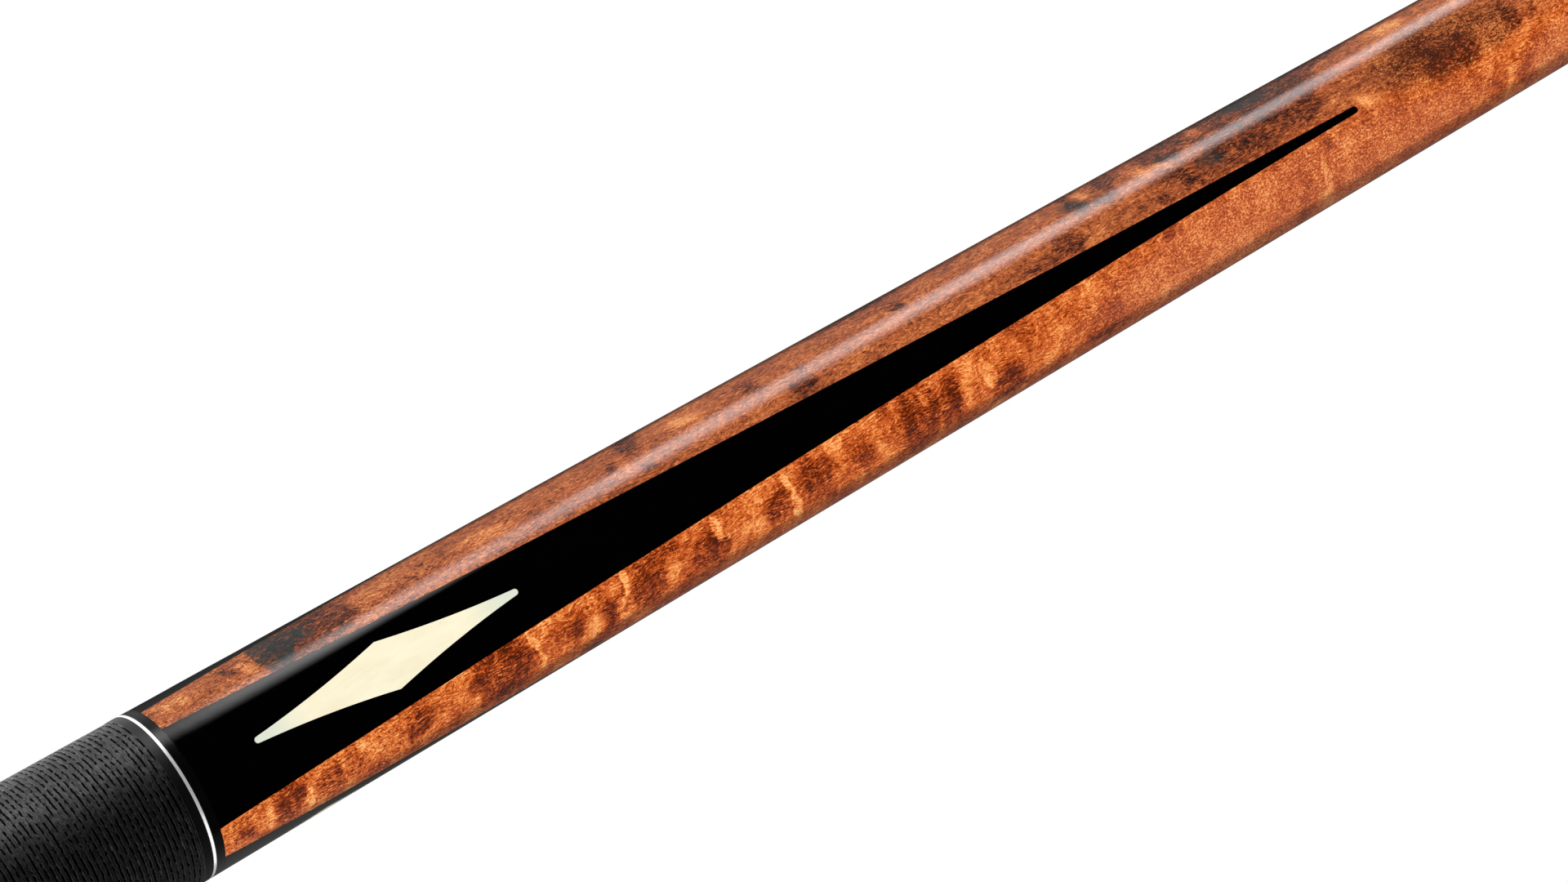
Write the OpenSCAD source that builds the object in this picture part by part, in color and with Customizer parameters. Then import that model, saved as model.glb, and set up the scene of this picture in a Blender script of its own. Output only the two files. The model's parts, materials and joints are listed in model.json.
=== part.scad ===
// Two-piece pool cue, standing on its bumper: the cue's axis is Z, the bumper's
// face is at Z = 0, and the tip is at the top. The front faces -Y.
// Butt, from the floor up: bumper, butt cap, inlaid butt sleeve, linen-wrapped
// handle, inlaid forearm, joint collar and threaded pin. The shaft screws on to the pin.

/* [Overall lengths] */
// Butt, from the bumper's face to the joint
butt_len = 736.6; // [730:0.1:760]
// Shaft, from the joint to the crown of the tip
shaft_len = 736.6; // [700:0.1:760]
// From the joint down to the middle of the metal ring above the wrap
forearm_len = 318; // [295:1:330]
// Linen wrap along the handle
wrap_len = 295; // [280:1:305]

/* [Diameters] */
// Butt at the cap's lower edge
butt_d = 31.8; // [30:0.1:33]
// Butt at the metal ring above the wrap
waist_d = 26.2; // [25.5:0.1:27.5]
// Butt and shaft where they meet
joint_d = 21.4; // [21:0.1:22]
// Shaft at the ferrule
tip_d = 12.75; // [12:0.05:13.5]

/* [Rings and collars] */
// Thin metal rings beside the wrap and the butt cap
ring_t = 0.5; // [0.4:0.05:1]
// Metal rings at the joint
joint_ring_t = 0.8; // [0.5:0.05:1.5]
// Black collar between a metal ring and the stained wood
collar_t = 1.45; // [1:0.05:3]
// Black trim between the wrap and a metal ring
trim_t = 1.5; // [1:0.05:3]
// Joint collar on the butt
joint_collar_len = 22; // [18:0.5:26]
// Joint collar on the shaft
shaft_collar_len = 12; // [8:0.5:20]

/* [Inlays] */
// Length of the front and back points
long_point_len = 226.7; // [180:0.1:240]
// Half the width of a long point where it starts
long_point_half = 8; // [6:0.1:8.2]
// Length of the side points
short_point_len = 92; // [70:1:120]
// Half the width of a side point where it starts
short_point_half = 6; // [4:0.1:6.4]
// Length of the points in the butt sleeve
sleeve_point_len = 68; // [50:1:74]
// Half the width of a sleeve point where it starts
sleeve_point_half = 8.2; // [6:0.1:9]
// Radius of a point's rounded end
point_tip_r = 0.6; // [0.4:0.05:1]
// Radius of a diamond's rounded end
diamond_tip_r = 0.5; // [0.4:0.05:0.7]
// How far an inlay's sides bow inwards, 0 for straight sides
bow = 0.42; // [0:0.02:0.6]

/* [Fittings] */
// Length of the bumper below the butt cap
bumper_len = 12; // [8:0.5:18]
// Length of the steel weight bolt
weight_bolt_len = 60; // [25:1:70]
// Pin length that stands out of the joint
pin_out = 30; // [26:0.5:32]
// Pitch of the pin's thread, ten threads to the inch
pitch = 2.54; // [1.9:0.01:2.6]
// Ferrule length
ferrule_len = 19; // [12:0.5:25.4]
// Leather tip's height, with its dome
tip_len = 6.5; // [5:0.1:8]

/* [Hidden] */
$fn = 96;

glue = 0.05;        // radial gap that glue fills between nested pieces
inlay_gap = 0.02;   // gap round an inlay in its pocket
eps = 0.01;         // how far a cutter passes a face

// Heights, from the floor up.
joint_z = butt_len;
waist_z = joint_z - forearm_len;
cap_z = bumper_len;
cap_len = 23;
weight_bolt_z = cap_z + 20;
sleeve_ring_lower_z = cap_z + cap_len;
sleeve_collar_lower_z = sleeve_ring_lower_z + ring_t;
sleeve_z = sleeve_collar_lower_z + collar_t;
forearm_ring_z = waist_z - ring_t / 2;
forearm_collar_z = forearm_ring_z + ring_t;
forearm_z = forearm_collar_z + collar_t;
wrap_trim_upper_z = forearm_ring_z - trim_t;
wrap_z = wrap_trim_upper_z - wrap_len;
wrap_trim_lower_z = wrap_z - trim_t;
sleeve_ring_upper_z = wrap_trim_lower_z - ring_t;
sleeve_collar_upper_z = sleeve_ring_upper_z - collar_t;
joint_collar_z = joint_z - joint_collar_len;
joint_ring_z = joint_collar_z - joint_ring_t;
cue_z = butt_len + shaft_len;
tip_z = cue_z - tip_len;
pad_t = 1;
ferrule_z = tip_z - pad_t - ferrule_len;
shaft_ring_z = joint_z + shaft_collar_len;
shaft_wood_z = shaft_ring_z + joint_ring_t;

// Bores, tenons and pockets.
sleeve_tenon_r = 9.5;
waist_tenon_r = 8.5;
waist_tenon_len = 18;
joint_tenon_r = 8.3;
stud_r = 3.95;
stud_len = 64;
weight_bore_r = 5.6;
cap_lip_t = 2;
wrap_t = 0.65;
wrap_sink = 0.05;
point_depth = 2.5;
diamond_depth = 1.4;
diamond_z = 32.6;         // a long point's start to the middle of its diamond
long_diamond_half_len = 22.8;
long_diamond_half = 3.85;
short_diamond_z = 18;
short_diamond_half_len = 11;
short_diamond_half = 2.1;
sleeve_diamond_z = 25;
sleeve_diamond_half_len = 16;
sleeve_diamond_half = 3.2;

// Joint pin and insert.
pin_minor_r = 3.8;
pin_major_r = 4.7;
pin_crest = 0.55;         // flat on top of the pin's thread
thread_gap = 0.2;         // clearance between the pin's thread and the insert's
shank_r = 5;
shank_len = 34;
insert_r = 7;
insert_len = 36;
insert_thread_len = 22;
insert_clear_r = 5.2;
nose_len = 3;

// Shaft taper: a plain cylinder below the ferrule, then a slow flare to the joint.
cylinder_len = 250;
flare_power = 1.25;
flare_steps = 20;
ferrule_tenon_r = 4;
ferrule_tenon_len = ferrule_len - 4;
tip_dome_r = 10.3;

// Radius of the butt's surface at height z.
function butt_r(z) =
    z < waist_z
    ? butt_d / 2 + (waist_d - butt_d) / 2 * (z - cap_z) / (waist_z - cap_z)
    : waist_d / 2 + (joint_d - waist_d) / 2 * (z - waist_z) / forearm_len;

// Radius of the shaft's surface at height z.
function shaft_r(z) =
    let (flare = ferrule_z - cylinder_len - joint_z,
         left = max(0, 1 - (z - joint_z) / flare))
    tip_d / 2 + (joint_d - tip_d) / 2 * pow(left, flare_power);

// Half the width of an inlay, where u runs from 0 at its end to 1 at its widest.
function bowed(u, end_half, wide_half) =
    end_half + (wide_half - end_half) * ((1 - bow) * u + bow * u * u);

// One side of an inlay's outline, from its widest place up to its rounded end.
function flank(length, half_width, end_r, steps) = concat(
    [for (i = [0:steps]) [bowed(1 - i / steps, end_r, half_width), (length - end_r) * i / steps]],
    [for (a = [22.5:22.5:90]) [end_r * cos(a), length - end_r + end_r * sin(a)]]);

// Both sides of that outline, left side last.
function mirrored(points) =
    concat(points, [for (i = [len(points) - 2:-1:0]) [-points[i][0], points[i][1]]]);

module spear(length, half_width, end_r, gap) {
    polygon(mirrored(flank(length - gap, half_width - gap, end_r - gap, 12)));
}

module diamond(half_len, half_width, gap) {
    upper = mirrored(flank(half_len - gap, half_width - gap, diamond_tip_r - gap, 6));
    polygon(concat(upper, [for (i = [1:len(upper) - 2]) -upper[i]]));
}

// Round bar between two heights, from radius r0 to r1.
module bar(z0, z1, r0, r1) {
    translate([0, 0, z0]) cylinder(h = z1 - z0, r1 = r0, r2 = r1);
}

// Length of the butt between two heights, its surface set back by inset.
module butt_bar(z0, z1, inset = 0) {
    bar(z0, z1, butt_r(z0) - inset, butt_r(z1) - inset);
}

// Ring or collar that follows the butt's surface round a bore.
module butt_tube(z0, z1, bore_r, inset = 0) {
    difference() {
        butt_bar(z0, z1, inset);
        bar(z0 - eps, z1 + eps, bore_r, bore_r);
    }
}

// Outline stood up at height z on the side of the cue that faces angle, and
// run outwards from the axis. up = -1 turns the outline to point down.
module cutter(angle, z, up = 1) {
    rotate([0, 0, angle]) translate([0, 0, z]) rotate([90, 0, 0])
        linear_extrude(height = butt_d) rotate(up > 0 ? 0 : 180) children();
}

// Pocket of one depth under the surface between two heights.
module pocket(z0, z1, depth) {
    difference() {
        children();
        bar(z0 - 1, z1 + 1, butt_r(z0 - 1) - depth, butt_r(z1 + 1) - depth);
    }
}

// Inlay that fills such a pocket flush with the surface.
module inlay(z0, z1, depth) {
    difference() {
        intersection() {
            butt_bar(z0, z1);
            children();
        }
        bar(z0 - 1, z1 + 1, butt_r(z0 - 1) - depth, butt_r(z1 + 1) - depth);
    }
}

// Solid rod with a right-hand thread from height z0 to z1. A thread crest
// passes through angle 0 at every whole number of pitches. Each column of
// points follows the thread's profile, and is held inside the two end faces.
module threaded_rod(z0, z1, minor_r, major_r, crest, segments = 24) {
    flank_z = (major_r - minor_r) * tan(30);
    profile = [[-crest / 2 - flank_z, minor_r], [-crest / 2, major_r],
               [crest / 2, major_r], [crest / 2 + flank_z, minor_r]];
    first = floor(z0 / pitch) - 2;
    last = ceil(z1 / pitch) + 1;
    stations = [for (turn = [first:last]) for (p = profile) [turn * pitch + p[0], p[1]]];
    rows = len(stations);
    column = function (i) [for (s = stations)
        let (z = s[0] + pitch * i / segments,
             r = z <= z0 || z >= z1 ? minor_r : s[1])
        [r * cos(360 * i / segments), r * sin(360 * i / segments), min(max(z, z0), z1)]];
    points = [for (i = [0:segments]) each column(i)];
    sides = [for (i = [0:segments - 1]) for (j = [0:rows - 2])
        let (a = i * rows + j, b = a + rows) each [[a, a + 1, b], [b, a + 1, b + 1]]];
    low_end = [for (i = [0:segments - 1]) i * rows];
    high_end = [for (i = [segments - 1:-1:0]) i * rows + rows - 1];
    polyhedron(points, concat(sides, [low_end, high_end]));
}

// ---- forearm ----

module long_point_cutter(angle, gap = 0) {
    cutter(angle, forearm_z) spear(long_point_len, long_point_half, point_tip_r, gap);
}

module short_point_cutter(angle, gap = 0) {
    cutter(angle, forearm_z) spear(short_point_len, short_point_half, point_tip_r, gap);
}

module long_diamond_cutter(angle, gap = 0) {
    cutter(angle, forearm_z + diamond_z) diamond(long_diamond_half_len, long_diamond_half, gap);
}

module short_diamond_cutter(angle, gap = 0) {
    cutter(angle, forearm_z + short_diamond_z)
        diamond(short_diamond_half_len, short_diamond_half, gap);
}

module forearm() {
    color("chocolate") difference() {
        union() {
            butt_bar(forearm_z, joint_ring_z);
            bar(joint_ring_z - 1, joint_z, joint_tenon_r, joint_tenon_r);
        }
        for (angle = [0, 180])
            pocket(forearm_z, joint_z, point_depth) long_point_cutter(angle);
        for (angle = [90, 270])
            pocket(forearm_z, joint_z, point_depth) short_point_cutter(angle);
        bar(forearm_z - eps, waist_z + waist_tenon_len + 1, waist_tenon_r + glue, waist_tenon_r + glue);
        bar(waist_z, waist_z + stud_len / 2 + 1, stud_r + glue, stud_r + glue);
        bar(joint_z - shank_len - 1, joint_z + eps, shank_r + glue, shank_r + glue);
    }
}

module long_point(angle) {
    color("black") difference() {
        inlay(forearm_z, forearm_z + long_point_len, point_depth - inlay_gap)
            long_point_cutter(angle, inlay_gap);
        pocket(forearm_z, joint_z, diamond_depth) long_diamond_cutter(angle);
    }
}

module short_point(angle) {
    color("black") difference() {
        inlay(forearm_z, forearm_z + short_point_len, point_depth - inlay_gap)
            short_point_cutter(angle, inlay_gap);
        pocket(forearm_z, joint_z, diamond_depth) short_diamond_cutter(angle);
    }
}

module long_diamond(angle) {
    color("cornsilk") inlay(forearm_z, forearm_z + long_point_len, diamond_depth - inlay_gap)
        long_diamond_cutter(angle, inlay_gap);
}

module short_diamond(angle) {
    color("cornsilk") inlay(forearm_z, forearm_z + short_point_len, diamond_depth - inlay_gap)
        short_diamond_cutter(angle, inlay_gap);
}

module forearm_collar() {
    color("black") butt_tube(forearm_collar_z, forearm_z, waist_tenon_r + glue);
}

module forearm_ring() {
    color("silver") butt_tube(forearm_ring_z, forearm_collar_z, waist_tenon_r + glue);
}

// ---- handle ----

module wrap_trim_upper() {
    color("black") butt_tube(wrap_trim_upper_z, forearm_ring_z, waist_tenon_r + glue);
}

module linen_wrap() {
    color("dimgray") difference() {
        butt_bar(wrap_z, wrap_trim_upper_z, wrap_sink);
        bar(wrap_z - eps, wrap_trim_upper_z + eps,
            butt_r(wrap_z) - wrap_t + glue, butt_r(wrap_trim_upper_z) - wrap_t + glue);
    }
}

module wrap_trim_lower() {
    color("black") butt_tube(wrap_trim_lower_z, wrap_z, sleeve_tenon_r + glue);
}

module handle_core() {
    color("burlywood") difference() {
        union() {
            bar(cap_z + cap_lip_t, wrap_z + 1, sleeve_tenon_r, sleeve_tenon_r);
            butt_bar(wrap_z, wrap_trim_upper_z, wrap_t);
            bar(wrap_trim_upper_z - 1, waist_z + waist_tenon_len, waist_tenon_r, waist_tenon_r);
        }
        bar(cap_z, weight_bolt_z + weight_bolt_len + 1, weight_bore_r, weight_bore_r);
        bar(waist_z - stud_len / 2 - 1, waist_z + stud_len, stud_r + glue, stud_r + glue);
    }
}

// Steel stud that draws the forearm down on to the handle.
module waist_stud() {
    chamfer = 1;
    color("silver") {
        bar(waist_z - stud_len / 2 + chamfer, waist_z + stud_len / 2 - chamfer, stud_r, stud_r);
        bar(waist_z - stud_len / 2, waist_z - stud_len / 2 + chamfer, stud_r - chamfer, stud_r);
        bar(waist_z + stud_len / 2 - chamfer, waist_z + stud_len / 2, stud_r, stud_r - chamfer);
    }
}

// ---- butt sleeve and cap ----

module sleeve_ring_upper() {
    color("silver") butt_tube(sleeve_ring_upper_z, wrap_trim_lower_z, sleeve_tenon_r + glue);
}

module sleeve_collar_upper() {
    color("black") butt_tube(sleeve_collar_upper_z, sleeve_ring_upper_z, sleeve_tenon_r + glue);
}

module sleeve_point_cutter(angle, gap = 0) {
    cutter(angle, sleeve_collar_upper_z, -1)
        spear(sleeve_point_len, sleeve_point_half, point_tip_r, gap);
}

module sleeve_diamond_cutter(angle, gap = 0) {
    cutter(angle, sleeve_collar_upper_z - sleeve_diamond_z)
        diamond(sleeve_diamond_half_len, sleeve_diamond_half, gap);
}

module butt_sleeve() {
    color("chocolate") difference() {
        butt_tube(sleeve_z, sleeve_collar_upper_z, sleeve_tenon_r + glue);
        for (angle = [0:90:270])
            pocket(sleeve_z, sleeve_collar_upper_z, point_depth) sleeve_point_cutter(angle);
    }
}

module sleeve_point(angle) {
    color("black") difference() {
        inlay(sleeve_z, sleeve_collar_upper_z, point_depth - inlay_gap)
            sleeve_point_cutter(angle, inlay_gap);
        pocket(sleeve_z, sleeve_collar_upper_z, diamond_depth) sleeve_diamond_cutter(angle);
    }
}

module sleeve_diamond(angle) {
    color("cornsilk") inlay(sleeve_z, sleeve_collar_upper_z, diamond_depth - inlay_gap)
        sleeve_diamond_cutter(angle, inlay_gap);
}

module sleeve_collar_lower() {
    color("black") butt_tube(sleeve_collar_lower_z, sleeve_z, sleeve_tenon_r + glue);
}

module sleeve_ring_lower() {
    color("silver")
        butt_tube(sleeve_ring_lower_z, sleeve_collar_lower_z, sleeve_tenon_r + glue);
}

module butt_cap() {
    edge_r = 1;
    color("black") difference() {
        union() {
            butt_bar(cap_z + edge_r, sleeve_ring_lower_z);
            bar(cap_z, cap_z + edge_r, butt_d / 2 - edge_r, butt_r(cap_z + edge_r));
        }
        bar(cap_z + cap_lip_t, sleeve_ring_lower_z + eps, sleeve_tenon_r + glue, sleeve_tenon_r + glue);
        bar(cap_z - eps, cap_z + cap_lip_t + eps, weight_bore_r, weight_bore_r);
    }
}

module weight_bolt() {
    hex_across = 6.35;
    chamfer = 1;
    top = weight_bolt_z + weight_bolt_len;
    bolt_r = weight_bore_r - glue;
    color("gray") difference() {
        union() {
            bar(weight_bolt_z, weight_bolt_z + chamfer, bolt_r - chamfer, bolt_r);
            bar(weight_bolt_z + chamfer, top - chamfer, bolt_r, bolt_r);
            bar(top - chamfer, top, bolt_r, bolt_r - chamfer);
        }
        translate([0, 0, weight_bolt_z - eps])
            cylinder(h = 8, r = hex_across / 2 / cos(30), $fn = 6);
    }
}

// Rubber foot with a ribbed stem that pushes into the handle's bore.
module bumper() {
    foot_r = 13.6;
    face_r = 11.6;
    round_r = foot_r - face_r;
    stem_r = weight_bore_r - 0.6;
    rib_r = weight_bore_r - 0.03;
    stem_len = 16;
    rib_pitch = 4;
    edge = [for (a = [0:15:90]) [face_r + round_r * sin(a), round_r * (1 - cos(a))]];
    ribs = [for (i = [0:2]) let (z = cap_z + 3 + rib_pitch * i)
        each [[stem_r, z], [rib_r, z + 0.8], [rib_r, z + 1.6], [stem_r, z + 2.4]]];
    color("#202020") rotate_extrude() polygon(concat(
        [[0, 0]], edge,
        [[foot_r + 0.5, cap_z - 0.6], [foot_r, cap_z], [stem_r, cap_z]], ribs,
        [[stem_r, cap_z + stem_len - 1], [stem_r - 1, cap_z + stem_len], [0, cap_z + stem_len]]));
}

// ---- joint ----

module joint_ring() {
    color("silver") butt_tube(joint_ring_z, joint_collar_z, joint_tenon_r + glue);
}

module joint_collar() {
    color("black") butt_tube(joint_collar_z, joint_z, joint_tenon_r + glue);
}

module joint_pin() {
    color("silver") translate([0, 0, joint_z]) {
        threaded_rod(-2, pin_out - nose_len, pin_minor_r, pin_major_r, pin_crest);
        bar(-shank_len, -0.5, shank_r, shank_r);
        bar(pin_out - nose_len - 1, pin_out - 1, pin_minor_r - 0.1, pin_minor_r - 0.1);
        bar(pin_out - 1, pin_out, pin_minor_r - 0.1, pin_minor_r - 1.1);
    }
}

module shaft_insert() {
    groove_r = 0.4;
    color("goldenrod") translate([0, 0, joint_z]) difference() {
        bar(0, insert_len, insert_r, insert_r);
        threaded_rod(-3, insert_thread_len, pin_minor_r + thread_gap, pin_major_r + thread_gap,
                     pin_crest + 2 * thread_gap * tan(30));
        bar(insert_thread_len - 1, insert_len - 1.5, insert_clear_r, insert_clear_r);
        for (z = [6:6:30]) translate([0, 0, z])
            rotate_extrude() translate([insert_r, 0]) circle(r = groove_r, $fn = 24);
    }
}

// ---- shaft ----

module shaft_tube(z0, z1, bore_r) {
    difference() {
        bar(z0, z1, shaft_r(z0), shaft_r(z1));
        bar(z0 - eps, z1 + eps, bore_r, bore_r);
    }
}

module shaft_collar() {
    color("black") shaft_tube(joint_z, shaft_ring_z, joint_tenon_r + glue);
}

module shaft_ring() {
    color("silver") shaft_tube(shaft_ring_z, shaft_wood_z, joint_tenon_r + glue);
}

module shaft_wood() {
    flare_top = ferrule_z - cylinder_len;
    heights = [for (i = [0:flare_steps]) shaft_wood_z + (flare_top - shaft_wood_z) * i / flare_steps];
    color("wheat") difference() {
        union() {
            rotate_extrude() polygon(concat([[0, shaft_wood_z]],
                [for (z = heights) [shaft_r(z), z]],
                [[tip_d / 2, ferrule_z], [0, ferrule_z]]));
            bar(joint_z, shaft_wood_z + 1, joint_tenon_r, joint_tenon_r);
            bar(ferrule_z - 1, ferrule_z + ferrule_tenon_len, ferrule_tenon_r, ferrule_tenon_r);
        }
        bar(joint_z - eps, joint_z + insert_len + 0.5, insert_r + glue, insert_r + glue);
    }
}

module ferrule() {
    color("ivory") difference() {
        bar(ferrule_z, tip_z - pad_t, tip_d / 2, tip_d / 2);
        bar(ferrule_z - eps, ferrule_z + ferrule_tenon_len + 0.2,
            ferrule_tenon_r + glue, ferrule_tenon_r + glue);
    }
}

module tip_pad() {
    color("firebrick") bar(tip_z - pad_t, tip_z, tip_d / 2, tip_d / 2);
}

module tip() {
    color("saddlebrown") intersection() {
        bar(tip_z, cue_z, tip_d / 2, tip_d / 2);
        translate([0, 0, cue_z - tip_dome_r]) sphere(r = tip_dome_r);
    }
}

forearm();
long_point(0);  // long_point_front
long_point(180);  // long_point_back
short_point(270);  // short_point_left
short_point(90);  // short_point_right
long_diamond(0);  // long_diamond_front
long_diamond(180);  // long_diamond_back
short_diamond(270);  // short_diamond_left
short_diamond(90);  // short_diamond_right
forearm_collar();
forearm_ring();
wrap_trim_upper();
linen_wrap();
wrap_trim_lower();
sleeve_ring_upper();
sleeve_collar_upper();
butt_sleeve();
sleeve_point(0);  // sleeve_point_front
sleeve_point(90);  // sleeve_point_right
sleeve_point(180);  // sleeve_point_back
sleeve_point(270);  // sleeve_point_left
sleeve_diamond(0);  // sleeve_diamond_front
sleeve_diamond(90);  // sleeve_diamond_right
sleeve_diamond(180);  // sleeve_diamond_back
sleeve_diamond(270);  // sleeve_diamond_left
sleeve_collar_lower();
sleeve_ring_lower();
butt_cap();
handle_core();
waist_stud();
weight_bolt();
bumper();
joint_ring();
joint_collar();
joint_pin();
shaft_insert();
shaft_collar();
shaft_ring();
shaft_wood();
ferrule();
tip_pad();
tip();
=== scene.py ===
"""Looks of the pool cue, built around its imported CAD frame.

The cue stands on its bumper along Z and its front faces -Y. Angles round the cue run from the
front towards +X. Lengths are in metres unless a name ends in _mm, and shader nodes that work on
a place take it in millimetres.
"""

import math

import bpy
import numpy as np
from mathutils import Matrix, Vector, noise
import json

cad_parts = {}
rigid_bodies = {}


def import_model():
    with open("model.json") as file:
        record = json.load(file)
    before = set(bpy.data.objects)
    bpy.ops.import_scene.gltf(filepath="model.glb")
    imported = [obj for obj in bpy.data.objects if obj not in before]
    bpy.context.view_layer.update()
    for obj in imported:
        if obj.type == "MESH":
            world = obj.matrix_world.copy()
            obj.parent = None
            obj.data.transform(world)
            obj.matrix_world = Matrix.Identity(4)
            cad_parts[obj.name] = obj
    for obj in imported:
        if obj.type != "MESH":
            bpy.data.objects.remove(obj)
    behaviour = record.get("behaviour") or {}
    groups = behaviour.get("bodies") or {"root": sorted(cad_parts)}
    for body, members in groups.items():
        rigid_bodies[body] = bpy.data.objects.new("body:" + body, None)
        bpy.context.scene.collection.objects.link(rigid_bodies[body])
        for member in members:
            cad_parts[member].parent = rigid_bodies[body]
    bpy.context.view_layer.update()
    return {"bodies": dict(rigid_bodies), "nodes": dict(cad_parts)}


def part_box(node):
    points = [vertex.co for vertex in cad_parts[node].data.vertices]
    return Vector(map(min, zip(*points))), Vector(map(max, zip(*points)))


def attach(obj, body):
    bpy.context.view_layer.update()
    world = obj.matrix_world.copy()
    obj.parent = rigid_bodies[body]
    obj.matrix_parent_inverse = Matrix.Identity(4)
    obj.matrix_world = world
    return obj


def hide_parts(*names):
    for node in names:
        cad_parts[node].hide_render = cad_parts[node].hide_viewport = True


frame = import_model()
MM = 0.001
SEED = 20


# ---- places and sizes, read from the CAD nodes ----

def bottom(node):
    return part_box(node)[0].z


def top(node):
    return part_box(node)[1].z


def widest(node):
    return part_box(node)[1].x


def line_between(low_node, high_node):
    """Slope and start of the straight taper through the lower edges of two turned nodes."""
    z0 = bottom(low_node)
    slope = (widest(high_node) - widest(low_node)) / (bottom(high_node) - z0)
    return slope, widest(low_node) - slope * z0


WAIST_Z = (bottom("forearm_ring") + top("forearm_ring")) / 2
JOINT_Z = top("joint_collar")
FOREARM_Z = bottom("forearm")
JOINT_RING_Z = bottom("joint_ring")
SLEEVE_TOP_Z = top("butt_sleeve")
FERRULE_Z = bottom("ferrule")
WRAP_Z = bottom("linen_wrap")
WRAP_TOP_Z = top("linen_wrap")
HANDLE_SLOPE, HANDLE_START = line_between("sleeve_ring_lower", "wrap_trim_upper")
FOREARM_SLOPE, FOREARM_START = line_between("forearm_collar", "joint_collar")

# Cuts and fits that the boxes don't show, the same as in the CAD source.
POINT_DEPTH = 2.5 * MM
DIAMOND_DEPTH = 1.4 * MM
INLAY_GAP = 0.02 * MM
POINT_TIP_R = 0.6 * MM
DIAMOND_TIP_R = 0.5 * MM
BOW = 0.42
WRAP_DEPTH = 0.60 * MM
WRAP_PITCH = 0.86 * MM

# Radii of bores and tenons inside the cue.
WAIST_BORE = 8.55 * MM
HANDLE_BORE = 9.55 * MM
JOINT_BORE = 8.35 * MM
JOINT_TENON = 8.3 * MM
PIN_BORE = 5.05 * MM
STUD_BORE = 4.0 * MM

# Eased edges, the clearance of the ring that turns on its own body, and the rows of a grid.
EDGE = 0.04 * MM
CLEAR = 0.01 * MM
ROW = 1.5 * MM


def butt_radius(z):
    """Radius of the butt's surface at height z, which may be an array."""
    z = np.asarray(z, float)
    handle = HANDLE_START + HANDLE_SLOPE * z
    return np.where(z < WAIST_Z, handle, FOREARM_START + FOREARM_SLOPE * z)


# ---- mesh building ----

def around(angle, radius, height):
    """Points at an angle from the front, as an array with x, y, z last."""
    angle, radius, height = np.broadcast_arrays(angle, radius, height)
    return np.stack([radius * np.sin(angle), -radius * np.cos(angle), height], -1)


def merged(points, faces):
    """Welds points that coincide, and drops repeated corners and flattened faces. Gives the
    numbers of the faces kept too."""
    keys = np.round(points * 1e8).astype(np.int64)
    _, first, place = np.unique(keys, axis=0, return_index=True, return_inverse=True)
    place = place.ravel()
    clean, kept = [], []
    for number, face in enumerate(faces):
        ring = place[list(face)].tolist()
        corners = [here for before, here in zip(ring[-1:] + ring, ring) if here != before]
        if len(corners) > 2 and len(set(corners)) == len(corners):
            clean.append(corners)
            kept.append(number)
    used = np.unique(np.concatenate(clean))
    new_number = np.full(len(first), -1)
    new_number[used] = np.arange(len(used))
    return points[first[used]], [new_number[f].tolist() for f in clean], kept


def new_piece(node, points, faces, body, finish, slot=None):
    """The piece that stands for a CAD node and rides on its body. The slot argument is not used."""
    name = node + "_look"
    mesh = bpy.data.meshes.new(name)
    mesh.from_pydata(points.tolist(), [], faces)
    mesh.validate()
    mesh.materials.append(MATERIALS[finish])
    piece = bpy.data.objects.new(name, mesh)
    bpy.context.scene.collection.objects.link(piece)
    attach(piece, body)
    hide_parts(node)
    return piece


def shade(piece, sharp_degrees=28):
    """Smooth shading that breaks at edges sharper than the angle given."""
    mesh = piece.data
    mesh.polygons.foreach_set("use_smooth", [True] * len(mesh.polygons))
    mesh.set_sharp_from_angle(angle=math.radians(sharp_degrees))


def outline_mm(pairs, base_z=0.0):
    """Outline pairs in metres, from radii and heights above base_z in millimetres."""
    return [(radius * MM, base_z + height * MM) for radius, height in pairs]


def arc(centre_r, centre_z, radius, start, end, steps=6):
    """Outline pairs along an arc; degrees run from straight out (0) to straight up (90)."""
    turns = np.radians(np.linspace(start, end, steps))
    return [(centre_r + radius * math.cos(t), centre_z + radius * math.sin(t)) for t in turns]


def helix_heights(z0, z1, start, pitch, phases, columns):
    """Heights of a grid whose rows follow a thread. It crosses angle 0 at start, and its
    rows run out flat at z0 and z1. Also gives which points lie between the two."""
    first = math.floor((z0 - start) / pitch + 1e-9) - 1
    last = math.ceil((z1 - start) / pitch - 1e-9)
    place = (np.arange(first, last + 1)[:, None] + np.array(phases)[None, :]).ravel()
    free = start + pitch * (place[:, None] + np.arange(columns)[None, :] / columns)
    return np.clip(free, z0, z1), (free > z0) & (free < z1)


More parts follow.
